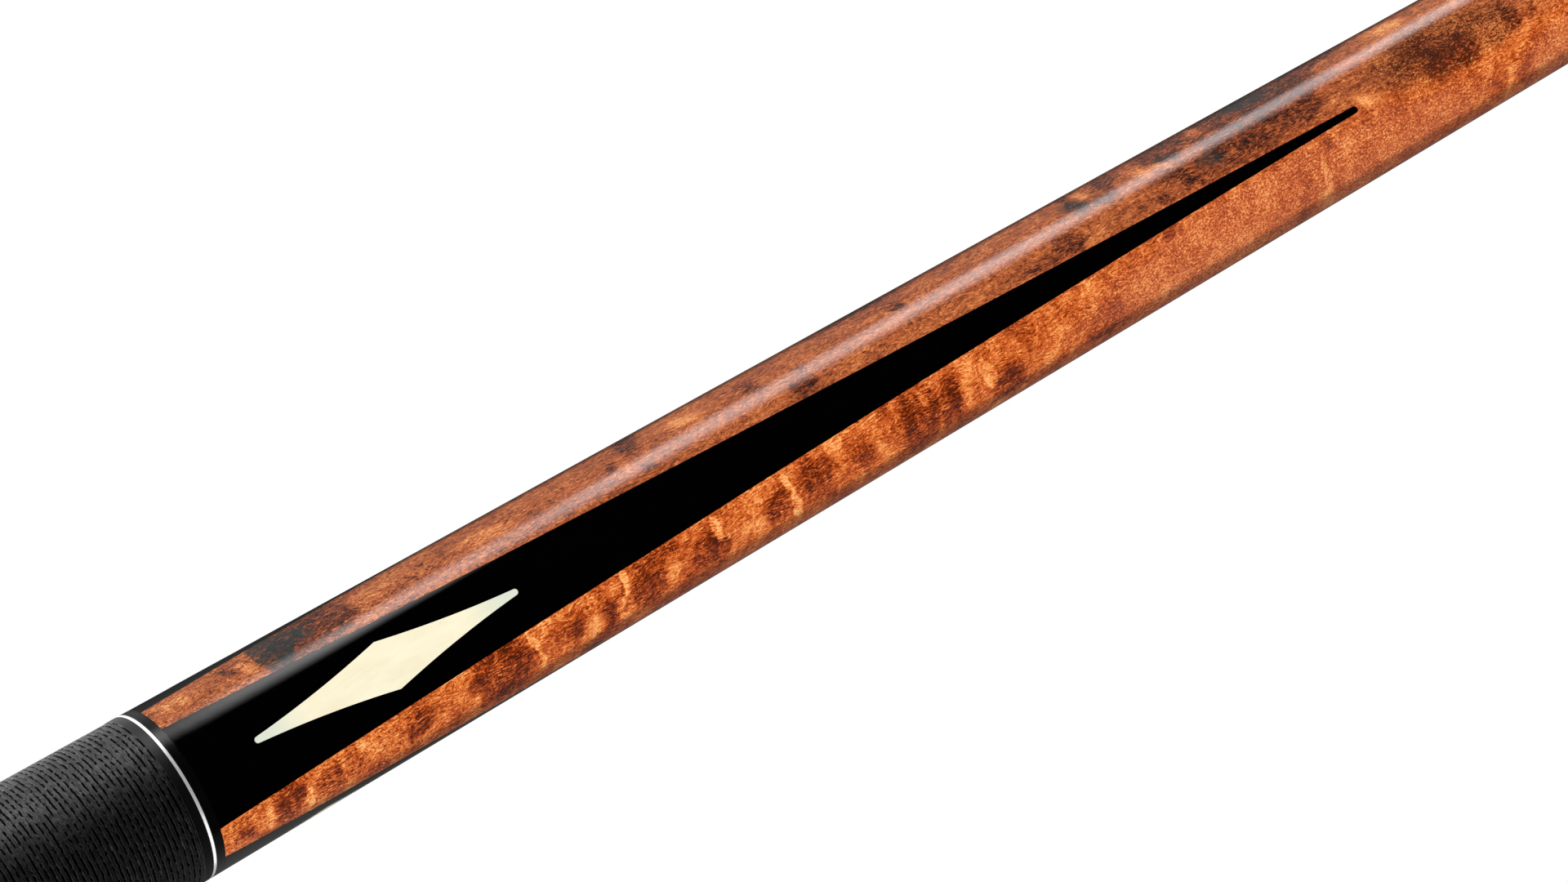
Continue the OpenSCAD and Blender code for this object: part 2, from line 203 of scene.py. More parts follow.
def wound(below, heights, radii, above, lap, closed):
    """Points and faces of a solid with a helical surface. below and above are the (radius,
    height) pairs of its outline before and after the helix, its outer side running upwards,
    and lap is the rows in a turn. A closed outline joins its last pair to its first."""
    columns = heights.shape[1]
    angles = np.arange(columns) / columns * 2 * math.pi
    outline = [*below, *zip(radii, heights), *above]
    points = np.array([around(angles, r, z) for r, z in outline]).reshape(-1, 3)
    rows = len(outline)
    start = len(below)
    end = start + len(heights)
    faces = []
    for i in range(rows if closed else rows - 1):
        low = i * columns
        high = (i + 1) % rows * columns
        for j in range(columns - 1):
            faces.append((low + j, low + j + 1, high + j + 1, high + j))
        if not start <= i < end - 1:
            faces.append((low + columns - 1, low, high, high + columns - 1))
        elif i + lap + 1 < end:
            # Past a full turn the thread goes on in the row one turn higher.
            onward = (i + lap) * columns
            faces.append((low + columns - 1, onward, onward + columns, high + columns - 1))
    return merged(points, faces)[:2]


def lathe(outline, columns=128, closed=True):
    """Points and faces of a turned solid."""
    return wound(outline, np.zeros((0, columns)), [], [], 0, closed)


def turned(node, outline, body, finish, slot=None, closed=True):
    shade(new_piece(node, *lathe(outline, closed=closed), body, finish, slot))


# The six sides of a grid cell: the axis and way they face, and their corners' places.
CELL_SIDES = [
    (2, -1, [(0, 0, 0), (0, 1, 0), (1, 1, 0), (1, 0, 0)]),
    (2, 1, [(0, 0, 1), (1, 0, 1), (1, 1, 1), (0, 1, 1)]),
    (1, -1, [(0, 0, 0), (1, 0, 0), (1, 0, 1), (0, 0, 1)]),
    (1, 1, [(0, 1, 0), (0, 1, 1), (1, 1, 1), (1, 1, 0)]),
    (0, -1, [(0, 0, 0), (0, 0, 1), (0, 1, 1), (0, 1, 0)]),
    (0, 1, [(1, 0, 0), (1, 1, 0), (1, 1, 1), (1, 0, 1)]),
]


def all_cells(grid, value):
    """An array with one value for each cell of a grid."""
    heights, angles, radii = grid
    return np.full((len(heights) - 1, angles.shape[1], radii.shape[1] - 1), value)


def cell_solid(node, grid, filled, finish, slope, slot=None):
    """A solid made of the filled cells of a grid that is wrapped round the butt.

    The grid is its n heights, n x m x k angles and n x k radii, which run inwards from the
    surface. Neighbouring filled cells share no face, so the result is closed. The surface gets
    the exact normals of its cone, so that its gloss runs on unbroken over every inlay."""
    heights, angles, radii = grid
    m, k = angles.shape[1:]
    points = around(angles, radii[:, None, :], heights[:, None, None]).reshape(-1, 3)
    faces, on_surface = [], []
    for axis, way, corners in CELL_SIDES:
        beside = np.roll(filled, -way, axis)
        if axis != 1:
            # Only the angles run on from the last cell to the first.
            edge = [slice(None)] * 3
            edge[axis] = -1 if way > 0 else 0
            beside[tuple(edge)] = False
        i, j, layer = np.nonzero(filled & ~beside)
        quads = [((i + a) * m + (j + b) % m) * k + layer + c for a, b, c in corners]
        faces += np.stack(quads, -1).tolist()
        on_surface += ((axis == 2) & (way < 0) & (layer == 0)).tolist()
    points, faces, kept = merged(points, faces)
    on_surface = [on_surface[number] for number in kept]

    mesh = new_piece(node, points, faces, "butt", finish, slot).data
    mesh.polygons.foreach_set("use_smooth", on_surface)
    outward = points * np.array([1, 1, 0])
    outward /= np.maximum(np.linalg.norm(outward, axis=1, keepdims=True), 1e-9)
    outward[:, 2] = -slope
    outward /= np.linalg.norm(outward, axis=1, keepdims=True)
    normals = []
    for face, smooth in zip(faces, on_surface):
        normals.extend(outward[face].tolist() if smooth else [(0, 0, 0)] * len(face))
    mesh.normals_split_custom_set(normals)


# ---- inlays ----

SIDES = ["front", "right", "back", "left"]
FLANK_COLUMNS = 4
DIAMOND_COLUMNS = 6
POINT_COLUMNS = 2 * FLANK_COLUMNS + DIAMOND_COLUMNS
WOOD_COLUMNS = 14
BAND_COLUMNS = POINT_COLUMNS + WOOD_COLUMNS


class Shape:
    """Outline of a point or a diamond. ways says where it runs from its widest place: 1 is up
    the cue and -1 down it."""

    def __init__(self, node, across, tip_r, ways, middle=None):
        low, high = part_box(node)
        self.node = node
        self.tip_r = tip_r
        self.ways = ways
        self.middle = (low.z + high.z) / 2 if middle is None else middle
        self.length = (high.z - low.z) / len(ways) + INLAY_GAP
        self.half = (high[across] - low[across]) / 2 + INLAY_GAP

    def half_width(self, z, gap):
        """Half the width at height z: the sides bow inwards and the ends are round. It is 0
        past an end. The gap is taken off all round."""
        end = self.tip_r - gap
        straight = self.length - self.tip_r
        u = np.clip(1 - abs(z - self.middle) / straight, 0, 1)
        side = end + (self.half - gap - end) * ((1 - BOW) * u + BOW * u * u)
        past = abs(z - self.middle) - straight
        return np.where(past > 0, np.sqrt(np.maximum(end * end - past * past, 0)), side)

    def rows(self, gap):
        """Heights that the outline needs in a grid."""
        straight = self.length - self.tip_r
        turns = np.radians([0, 15, 30, 45, 60, 72, 82, 90])
        return [self.middle] + [self.middle + way * (straight + (self.tip_r - gap) * math.sin(t))
                                for way in self.ways for t in turns]

    def span(self, gap):
        ends = [self.middle] + [self.middle + way * (self.length - gap) for way in self.ways]
        return min(ends), max(ends)


class Inlay:
    """One point with its diamond, and the columns that they take up in a grid."""

    def __init__(self, number, kind, start_z, way):
        across = number % 2
        side = SIDES[number]
        self.angle = math.radians(90 * number)
        self.point = Shape(f"{kind}_point_{side}", across, POINT_TIP_R, [way], start_z)
        self.diamond = Shape(f"{kind}_diamond_{side}", across, DIAMOND_TIP_R, [-1, 1])
        first = number * BAND_COLUMNS
        self.point_columns = slice(first, first + POINT_COLUMNS)
        first += FLANK_COLUMNS
        self.diamond_columns = slice(first, first + DIAMOND_COLUMNS)


FOREARM_INLAYS = [Inlay(number, kind, FOREARM_Z, 1)
                  for number, kind in enumerate(("long", "short", "long", "short"))]
SLEEVE_INLAYS = [Inlay(number, "sleeve", SLEEVE_TOP_Z, -1) for number in range(4)]


def inlay_grid(inlays, z0, z1, inner_radii, point_gap, diamond_gap, extra_rows=()):
    """Heights, angles and radii of a grid whose lines follow the inlays' outlines."""
    marks = [*np.arange(z0, z1, ROW), z0, z1, *extra_rows]
    for inlay in inlays:
        marks += inlay.point.rows(point_gap) + inlay.diamond.rows(diamond_gap)
    marks = np.unique(np.round([z for z in marks if z0 - 1e-9 <= z <= z1 + 1e-9], 9))
    heights = marks[np.concatenate([[True], np.diff(marks) > 2e-8])]
    surface = butt_radius(heights)
    radii = [surface, surface - DIAMOND_DEPTH + diamond_gap, surface - POINT_DEPTH + point_gap]
    radii = np.stack(radii + [np.full_like(surface, r) for r in inner_radii], 1)
    # An inlay's sides are parallel. Layers below a point's floor keep the floor's angles.
    side_radii = radii[:, np.minimum(np.arange(radii.shape[1]), 2)]
    turns = []
    for inlay in inlays:
        point = inlay.point.half_width(heights, point_gap)
        diamond = np.minimum(inlay.diamond.half_width(heights, diamond_gap), point)
        turns.append([np.arcsin(x[:, None] / side_radii) for x in (point, diamond)])
    columns = []
    widths = (FLANK_COLUMNS, DIAMOND_COLUMNS, FLANK_COLUMNS, WOOD_COLUMNS)
    for inlay, (point, diamond), (onward, _) in zip(inlays, turns, turns[1:] + turns[:1]):
        middle = inlay.angle
        stops = [middle - point, middle - diamond, middle + diamond, middle + point,
                 middle + math.pi / 2 - onward]
        for left, right, count in zip(stops, stops[1:], widths):
            columns += [left + (right - left) * (number / count) for number in range(count)]
    return heights, np.stack(columns, 1), radii


def between(heights, low, high):
    """Which of the gaps between neighbouring heights lie between two heights."""
    middle = (heights[:-1] + heights[1:]) / 2
    return (middle > low) & (middle < high)


# ---- shader nodes ----

class Value:
    """A node's output. Sums and products with numbers and other outputs add their nodes."""

    def __init__(self, graph, socket):
        self.graph = graph
        self.socket = socket

    def __add__(self, other):
        return self.graph.math("ADD", self, other)

    def __sub__(self, other):
        return self.graph.math("SUBTRACT", self, other)

    def __mul__(self, other):
        return self.graph.math("MULTIPLY", self, other)

    def __abs__(self):
        return self.graph.math("ABSOLUTE", self)

    def centred(self, weight):
        """A noise moved to run either side of 0, and scaled."""
        return (self - 0.5) * weight

    def step(self, low, high, out_low=0.0, out_high=1.0):
        """Changes smoothly from out_low to out_high as this goes from low to high."""
        return self.graph.made("MapRange", self, low, high, out_low, out_high,
                               interpolation_type="SMOOTHSTEP")

    def ramp(self, *stops):
        """A colour for each value, from (value, colour) pairs."""
        colour = self.graph.made("ValToRGB", self)
        elements = colour.socket.node.color_ramp.elements
        while len(elements) < len(stops):
            elements.new(1.0)
        for element, (place, rgb) in zip(elements, stops):
            element.position = place
            element.color = (*rgb, 1.0)
        return colour

    def parts(self):
        """The x, y and z of a vector."""
        node = self.graph.made("SeparateXYZ", self).socket.node
        return [Value(self.graph, socket) for socket in node.outputs]

    def mix(self, share, other, kind="MIX"):
        """This colour with a share of another laid over it."""
        return self.graph.made("Mix", share, *[None] * 5, self, other, output=2,
                               data_type="RGBA", blend_type=kind)


class Graph:
    """Nodes of one material or world. Any input takes a number or another node's output."""

    def __init__(self, tree):
        self.tree = tree

    def feed(self, socket, value):
        if isinstance(value, Value):
            self.tree.links.new(value.socket, socket)
        elif isinstance(value, tuple) and socket.type == "RGBA":
            socket.default_value = (*value, 1.0)
        elif value is not None:
            socket.default_value = value

    def made(self, kind, *values, output=0, named=None, **settings):
        """An output of a new node, whose inputs are given in order or by name."""
        node = self.tree.nodes.new("ShaderNode" + kind)
        for name, value in settings.items():
            setattr(node, name, value)
        for socket, value in zip(node.inputs, values):
            self.feed(socket, value)
        for name, value in (named or {}).items():
            self.feed(node.inputs[name], value)
        return Value(self, node.outputs[output])

    def math(self, operation, *values):
        return self.made("Math", *values, operation=operation)

    def blend(self, share, start, end):
        """A number that goes from start to end as share goes from 0 to 1."""
        return self.made("Mix", share, None, start, end, data_type="FLOAT")

    def scaled(self, vector, scale):
        return self.made("VectorMath", vector, scale, operation="MULTIPLY")

    def pushed(self, vector, offset):
        return self.made("VectorMath", vector, offset, operation="ADD")

    def noise(self, place, across, along, detail=2.0, roughness=0.5, kind="Fac", bend=0.0):
        """Noise with so many lumps in a unit of length, across the cue and along it."""
        named = {"Vector": self.scaled(place, (across, across, along)), "Scale": 1.0,
                 "Detail": detail, "Roughness": roughness, "Distortion": bend}
        return self.made("TexNoise", output=kind, named=named)

    def turn_from_front(self, x, y):
        """Angle round the cue in radians, from the front towards +X."""
        return self.math("ARCTAN2", x, y * -1.0)


class Finish(Graph):
    """A material with a principled shader. place is where the point shaded is, in mm."""

    def __init__(self, name, **settings):
        self.material = bpy.data.materials.new(name)
        self.material.use_nodes = True
        super().__init__(self.material.node_tree)
        self.shader = self.tree.nodes["Principled BSDF"]
        self.put(**settings)
        place = self.made("TexCoord", output="Object")
        self.place = self.scaled(place, (1.0 / MM, 1.0 / MM, 1.0 / MM))

    def put(self, **settings):
        """Feeds the shader's inputs, whose names have spaces for underscores, and gives the
        material back."""
        for name, value in settings.items():
            self.feed(self.shader.inputs[name.replace("_", " ")], value)
        return self.material

    def spots(self, lumps, detail=2.0, roughness=0.5):
        """Noise that looks the same every way."""
        return self.noise(self.place, lumps, lumps, detail, roughness)

    def bump(self, height, depth_mm, strength=1.0, normal=None):
        return self.made("Bump", named={"Height": height, "Distance": depth_mm * MM,
                                        "Strength": strength, "Normal": normal})

    def coat(self, roughness=0.05, wave_mm=0.012, grain=None):
        """A thick polished clear coat, with the faint waves that polishing leaves. Over wood
        the grain shows through in it a little."""
        smear = self.noise(self.place, 0.35, 0.08)
        normal = self.bump(self.noise(self.place, 0.25, 0.12, 3.0), wave_mm)
        if grain is not None:
            normal = self.bump(grain, 0.006, normal=normal)
        self.put(Specular_IOR_Level=0.0, Coat_Weight=1.0, Coat_IOR=1.5, Coat_Normal=normal,
                 Coat_Roughness=smear.step(0.2, 0.8, roughness * 0.8, roughness * 1.25))


# ---- the stained wood's figure ----

# Angle of the camera's own side of the cue, seen from the front, in degrees.
FACING = 2.0
ARC_MM_PER_DEGREE = 0.22

# Strokes of the forearm's figure, each from one place to another. A place is a height above
# the metal ring in mm and an angle from the side that faces the camera in degrees. Then come
# the stroke's half width in mm and its strength.
DARK_STROKES = [
    (5.5, -58, 5.8, -48, 0.6, 0.9), (14.6, -62, 15.2, -47, 0.7, 1.3),
    (26, -66, 27.5, -44, 5.6, 1.9), (31, -62, 33.5, -46, 3.4, 1.3),
    (47.6, -59, 48.3, -57, 0.5, 2.4), (45, -53, 46, -50, 0.4, 1.0),
    (82.4, -52, 80.8, -45, 0.6, 1.7), (88.5, -84, 85.8, -49, 1.9, 1.4),
    (85.5, -44, 86, -25, 1.4, 0.8), (108, -58, 110, -44, 2.0, 0.9),
    (112, -29, 118, -24, 1.8, 1.2), (116.5, -46, 117, -36, 1.0, 0.9),
    (137, -62, 138, -44, 1.1, 1.1), (117, -79, 150, -77, 2.4, 1.3),
    (166, -28, 170, -16, 2.0, 1.1), (176, -84, 174.4, -52, 0.8, 1.8),
    (174, -44, 182, -45, 1.5, 1.7), (184.5, -80, 181, -52, 1.4, 1.7),
    (190.6, -44, 195, -12, 0.9, 1.7), (196, -66, 193.6, -44, 1.6, 1.7),
    (186.4, -13, 188.4, -11, 1.0, 1.4), (198.6, -86, 199.8, -52, 1.4, 1.9),
    (202, -40, 203.6, -16, 2.1, 1.5), (207, -38, 209.8, -21, 2.1, 1.6),
    (178, -24, 236, -14, 2.6, 0.75), (150, -22, 172, -16, 1.6, 0.7),
    (174, -70, 240, -64, 7.0, 0.85), (207, -62, 224, -60, 5.0, 2.1), (216, -40, 222, -24, 2.4, 0.9),
    (206, -80, 240, -77, 3.0, 1.7), (240, -12, 258, -10, 3.6, 0.9),
    (247, -16, 254, 2, 2.6, 1.2), (264.6, -22, 266.5, 4, 1.6, 1.4),
    (268.6, -6, 269.6, 3, 1.2, 1.6),
    (12.6, 38, 13.6, 58, 2.4, 1.5), (20, 38, 20.6, 58, 2.2, 1.4),
    (4, 44, 6, 60, 1.6, 0.8), (34.6, 36, 35.6, 53, 2.2, 1.3),
    (50.2, 30, 50.6, 57, 4.6, 1.7), (62.5, 30, 63.6, 50, 2.0, 0.9),
    (70, 34, 70.4, 60, 1.6, 1.2), (77, 26, 77.4, 60, 2.8, 1.7), (81.5, 18, 83, 32, 2.0, 1.0),
    (88, 32, 88.6, 56, 2.2, 1.6), (91.4, 43, 91.8, 51, 0.8, 2.0),
    (102, 34, 102.6, 52, 2.6, 1.5), (109.4, 26, 110.6, 50, 3.0, 1.5),
    (117, 20, 120, 56, 2.4, 0.9), (130.5, 18, 131, 60, 4.6, 1.6),
    (136.6, 16, 136.8, 62, 1.4, 1.9), (147, 40, 150, 66, 3.2, 1.7),
    (163, 56, 179, 58, 2.6, 1.0), (185.4, 6, 186.2, 14, 1.6, 1.0),
    (213.6, 16, 214.6, 84, 2.2, 1.3), (220.3, 8, 220.8, 18, 0.9, 1.4),
    (265, 14, 266.6, 84, 2.0, 0.9), (66, 66, 67, 80, 2.0, 1.2), (168, 34, 173, 44, 2.4, 0.8),
]
BRIGHT_STROKES = [
    (9.6, 40, 9.4, 62, 0.8, 1.1), (16, 40, 16.4, 62, 0.5, 1.6), (25.2, 32, 25.8, 41, 0.8, 1.2),
    (45.6, 44, 45.4, 60, 0.5, 1.0), (55.4, 24, 57, 46, 0.5, 1.9), (57, 44, 57.4, 66, 0.5, 1.5),
    (66.6, 40, 66.8, 62, 1.2, 1.0), (73.2, 20, 73.4, 36, 0.45, 1.9),
    (73.4, 35, 71.6, 50, 0.5, 1.8), (71.6, 49, 73.4, 64, 0.6, 1.5),
    (90.2, 18, 90.8, 43, 0.6, 1.8), (96, 44, 100, 50, 1.5, 1.0),
    (103.4, 18, 105, 36, 0.55, 2.1), (104.8, 34, 106.2, 66, 0.7, 2.2),
    (121, 32, 124, 56, 1.6, 0.7), (130.4, 17, 132.6, 33, 0.5, 1.7),
    (143.6, 22, 145.4, 50, 1.1, 1.8), (139.6, 28, 140.4, 60, 1.5, 1.0),
    (156.4, 36, 157.4, 62, 2.0, 0.6), (181.6, 46, 182.4, 66, 1.5, 0.8),
    (217.4, 20, 218.6, 46, 0.65, 2.2), (218.4, 44, 219.8, 80, 1.1, 2.3),
    (177.2, -72, 177.8, -49, 1.2, 1.0), (202.4, -76, 202.9, -54, 1.2, 1.0),
    (187, -62, 189.4, -40, 1.8, 1.1), (191.4, -49, 192.6, -38, 1.1, 1.5),
    (17, -62, 17.6, -42, 0.8, 1.2), (92, -58, 101, -50, 1.8, 0.9),
    (241, -64, 250, -58, 2.2, 1.2), (229, -8, 232, 2, 1.4, 1.1), (52, -55, 66, -52, 2.6, 0.7),
    (3, -58, 9, -50, 1.4, 0.8), (222, -12, 228, -22, 0.8, 0.8),
]
TEAL_STROKES = [(21.6, -70, 22, -38, 2.3, 2.6), (24, -62, 28, -52, 2.6, 1.1),
                (206, -73, 223, -62, 4.2, 0.9), (171, -57, 178, -47, 1.9, 0.9),
                (189, -56, 198, -44, 1.5, 0.8), (196, -30, 203, -22, 2.2, 0.8)]
SALMON_STROKES = [(158, 40, 262, 40, 5.6, 2.4), (266, 44, 290, 44, 5.0, 2.0)]
BURL_STROKES = [(236, -18, 262, -12, 5.2, 1.7), (250, -4, 268, -4, 3.0, 1.0)]


def strokes_cover(g, place, strokes, soft):
    """How strongly a set of strokes covers each place, from 0 to 1."""
    total = 0.0
    for u0, a0, u1, a1, half, strength in strokes:
        v0 = (a0 + FACING) * ARC_MM_PER_DEGREE
        v1 = (a1 + FACING) * ARC_MM_PER_DEGREE
        lean = math.atan2(v1 - v0, u1 - u0)
        reach = math.hypot(u1 - u0, v1 - v0) / 2 + half
        local = g.made("Mapping", vector_type="TEXTURE", named={
            "Vector": place, "Location": ((u0 + u1) / 2, (v0 + v1) / 2, 0.0),
            "Rotation": (0.0, 0.0, lean), "Scale": (reach, half * 1.6, 1.0)})
        spot = g.made("TexGradient", local, output="Fac", gradient_type="SPHERICAL")
        total = g.math("MULTIPLY_ADD", spot, strength, total)
    return total.step(0.5 - soft / 2, 0.5 + soft / 2)


def drawn_strokes(rng, count, heights, angles, half, lean):
    """Strokes for the sides that the photo doesn't show, drawn at random."""
    made = []
    for _ in range(count):
        u = rng.uniform(*heights)
        a = rng.uniform(*angles)
        reach = rng.uniform(4, 16)
        tilt = rng.uniform(-lean, lean)
        made.append((u - tilt, a - reach, u + tilt, a + reach, rng.uniform(*half),
                     rng.uniform(0.9, 2.0)))
    return made


def stained_maple(name, dark, bright, teal=(), salmon=(), burl=()):
    """Stained and figured maple under a polished clear coat."""
    g = Finish(name)
    place = g.place
    x, y, z = place.parts()
    height = z - WAIST_Z / MM
    along = g.turn_from_front(x, y) * (math.degrees(1.0) * ARC_MM_PER_DEGREE)

    # Fibres run along the cue and waver; swirls are the growth lines round burls; curls are
    # the ripples across the grain.
    drift = g.noise(place, 0.30, 0.20, kind="Color")
    grain_place = g.pushed(place, g.scaled(drift, (2.6, 2.6, 1.2)))
    fibre = g.noise(grain_place, 3.6, 0.60, 4.0, 0.74)
    hair = g.noise(grain_place, 6.0, 1.0, 3.0, 0.8)
    streak = g.noise(grain_place, 1.1, 0.09, 2.0, 0.6)
    mottle = g.noise(place, 0.21, 0.15, 4.0, 0.66)
    field = g.noise(place, 0.15, 0.085, 3.0, 0.45)
    swirl = g.math("SINE", field * 95.0) * 0.5 + 0.5
    curl = g.noise(grain_place, 0.12, 0.30, 4.0, 0.60, bend=0.5)
    ripple = g.noise(grain_place, 0.55, 1.5, 3.0, 0.62)
    grit = g.noise(place, 3.0, 2.7, 3.0, 0.85)

    # Places are pushed about along the fibres, so that strokes get ragged, feathered edges.
    broad_u, broad_v, _ = g.noise(place, 0.20, 0.13, 3.0, 0.6, "Color").parts()
    feather = g.noise(place, 2.0, 0.35, 3.0, 0.65)
    push_u = broad_u.centred(3.4) + feather.centred(3.6)
    push_v = broad_v.centred(4.6) + ripple.centred(1.6)
    flat = g.made("CombineXYZ", height + push_u, along + push_v)
    fine_u = broad_u.centred(1.2) + ripple.centred(1.5)
    fine_v = broad_v.centred(1.8) + feather.centred(1.6)
    flat_fine = g.made("CombineXYZ", height + fine_u, along + fine_v)

    # The curly side of the cue faces +X, and the swirling, browner side faces -X.
    curly = x.step(-3.5, 4.5)
    tone_curly = (fibre.centred(1.45) + hair.centred(1.45) + curl.centred(0.90)
                  + ripple.centred(0.35) + mottle.centred(0.60) + grit.centred(0.90))
    tone_brown = (fibre.centred(1.00) + hair.centred(1.45) + streak.centred(0.36)
                  + mottle.centred(0.50) + swirl.centred(0.10) + grit.centred(0.60) - 0.022)
    tone = g.blend(curly, tone_brown, tone_curly)
    # Fine dark veins, closest together near the ring.
    wormy = g.noise(grain_place, 1.5, 1.1, 2.0, 0.55)
    vein = abs(wormy - 0.5).step(0.004, 0.040, 1.0, 0.0)
    tone = tone - vein * height.step(22.0, 85.0, 0.34, 0.08)
    tone = tone + height.step(22.0, 85.0, 0.055, 0.0)
    if salmon:
        salmon_cover = strokes_cover(g, flat, salmon, 0.9)
        calm = (fibre.centred(1.20) + hair.centred(2.1) + grit.centred(3.4)
                + curl.centred(0.75) + mottle.centred(0.65) - 0.030)
        tone = g.blend(salmon_cover * 0.9, tone, calm)
    broken = (fibre.centred(1.3) + ripple * 0.5).step(0.05, 0.45, 1.0, 0.50)
    dark_share = g.blend(curly, 0.36, height.step(40.0, 90.0, 0.50, 0.40))
    tone = tone + 0.56 - strokes_cover(g, flat, dark, 0.95) * broken * dark_share
    tone = tone + strokes_cover(g, flat_fine, bright, 0.8) * 0.30

    orange = tone.ramp(
        (0.00, (0.060, 0.010, 0.003)), (0.14, (0.125, 0.017, 0.004)),
        (0.30, (0.250, 0.034, 0.006)), (0.46, (0.470, 0.076, 0.012)),
        (0.62, (0.680, 0.135, 0.026)), (0.80, (0.900, 0.310, 0.072)),
        (1.00, (0.980, 0.520, 0.190)))
    brown = tone.ramp(
        (0.00, (0.020, 0.009, 0.008)), (0.18, (0.070, 0.020, 0.012)),
        (0.38, (0.210, 0.050, 0.019)), (0.55, (0.400, 0.096, 0.030)),
        (0.78, (0.640, 0.200, 0.062)), (1.00, (0.900, 0.420, 0.150)))
    colour = brown.mix(curly, orange)
    if salmon:
        colour = colour.mix(salmon_cover * 0.34, (0.56, 0.125, 0.060))
    if burl:
        speck = (grit.centred(2.4) + hair.centred(1.6) + mottle).step(0.38, 0.66, 0.88, 0.10)
        colour = colour.mix(strokes_cover(g, flat, burl, 0.9) * speck, (0.050, 0.014, 0.006))
    if teal:
        fleck = (fibre + ripple.centred(0.6)).step(0.40, 0.66, 1.0, 0.55)
        colour = colour.mix(strokes_cover(g, flat_fine, teal, 0.5) * fleck,
                            (0.018, 0.028, 0.028))
    # The base colour gets painted shade towards the cue's edges.
    g.put(Base_Color=painted_edge_shade(g, colour, x),
          Roughness=fibre.step(0.3, 0.7, 0.55, 0.42), Normal=g.bump(fibre, 0.03, 0.5))
    g.coat(0.06, 0.02, fibre + hair * 0.5)
    return g.material


def painted_edge_shade(g, colour, x):
    """Painted shade: the stained wood's colour is darkened where the surface is seen at a shallow angle,
    towards the cue's edges, and sooner so on its curly side."""
    facing = g.made("LayerWeight", 0.5, output="Facing")
    curly_edge_shade = facing.step(0.50, 0.62, 1.0, 0.50)
    plain_edge_shade = facing.step(0.70, 0.86, 1.0, 0.45)
    # light is the share of colour kept under the painted shade.
    light = g.blend(x.step(-1.0, 1.0), plain_edge_shade, curly_edge_shade)
    return colour.mix(1.0, g.made("CombineXYZ", light, light, light), "MULTIPLY")


# ---- the other materials ----

def black_inlay():
    """Deep black inlay under the same coat as the wood."""
    g = Finish("black_inlay", Roughness=0.6)
    pores = g.noise(g.place, 4.0, 0.5, 3.0)
    g.put(Base_Color=pores.ramp((0.3, (0.0002, 0.0002, 0.0002)), (0.8, (0.0007, 0.0007, 0.0008))))
    g.coat()
    return g.material


def cream_inlay():
    """Cream inlay with soft clouds, cooler and a little greyer towards its two ends."""
    g = Finish("cream_inlay", Roughness=0.4)
    cloud = g.noise(g.place, 0.5, 0.16, 4.0, 0.55)
    line = g.noise(g.place, 3.0, 0.3)
    tone = cloud * 0.75 + line * 0.25
    colour = tone.ramp((0.25, (0.80, 0.72, 0.51)), (0.55, (0.86, 0.80, 0.59)),
                       (0.80, (0.89, 0.84, 0.65)))
    height = g.made("TexCoord", output="Generated").parts()[2]
    end = abs(height * 2.0 - 1.0).step(0.55, 0.95)
    g.put(Base_Color=colour.mix(end, (0.65, 0.690, 0.575)))
    g.coat()
    return g.material


def black_collar():
    """Black collar, trim and cap: polished phenolic, with hair-fine turning lines."""
    g = Finish("black_collar", IOR=1.5)
    lines = g.noise(g.place, 0.06, 9.0, 3.0)
    dust = g.spots(1.6, 4.0, 0.6)
    return g.put(Base_Color=dust.ramp((0.3, (0.0007, 0.0007, 0.0008)), (0.8, (0.0024, 0.0023, 0.0023))),
                 Roughness=lines.step(0.2, 0.8, 0.14, 0.22), Normal=g.bump(lines, 0.004))


def nickel_silver():
    """Bright metal ring, brushed round the cue, so that its shine spreads along the cue."""
    g = Finish("nickel_silver", Metallic=0.70, Anisotropic=0.85, Anisotropic_Rotation=0.25)
    brush = g.noise(g.place, 0.25, 26.0, 3.0, 0.6)
    stain = g.spots(0.4, 3.0)
    tone = brush * 0.7 + stain * 0.3
    return g.put(Base_Color=tone.ramp((0.25, (0.78, 0.77, 0.75)), (0.70, (0.98, 0.975, 0.96))),
                 Roughness=brush.step(0.2, 0.8, 0.34, 0.46), Normal=g.bump(brush, 0.004),
                 Tangent=g.made("Tangent", direction_type="RADIAL", axis="Z"))


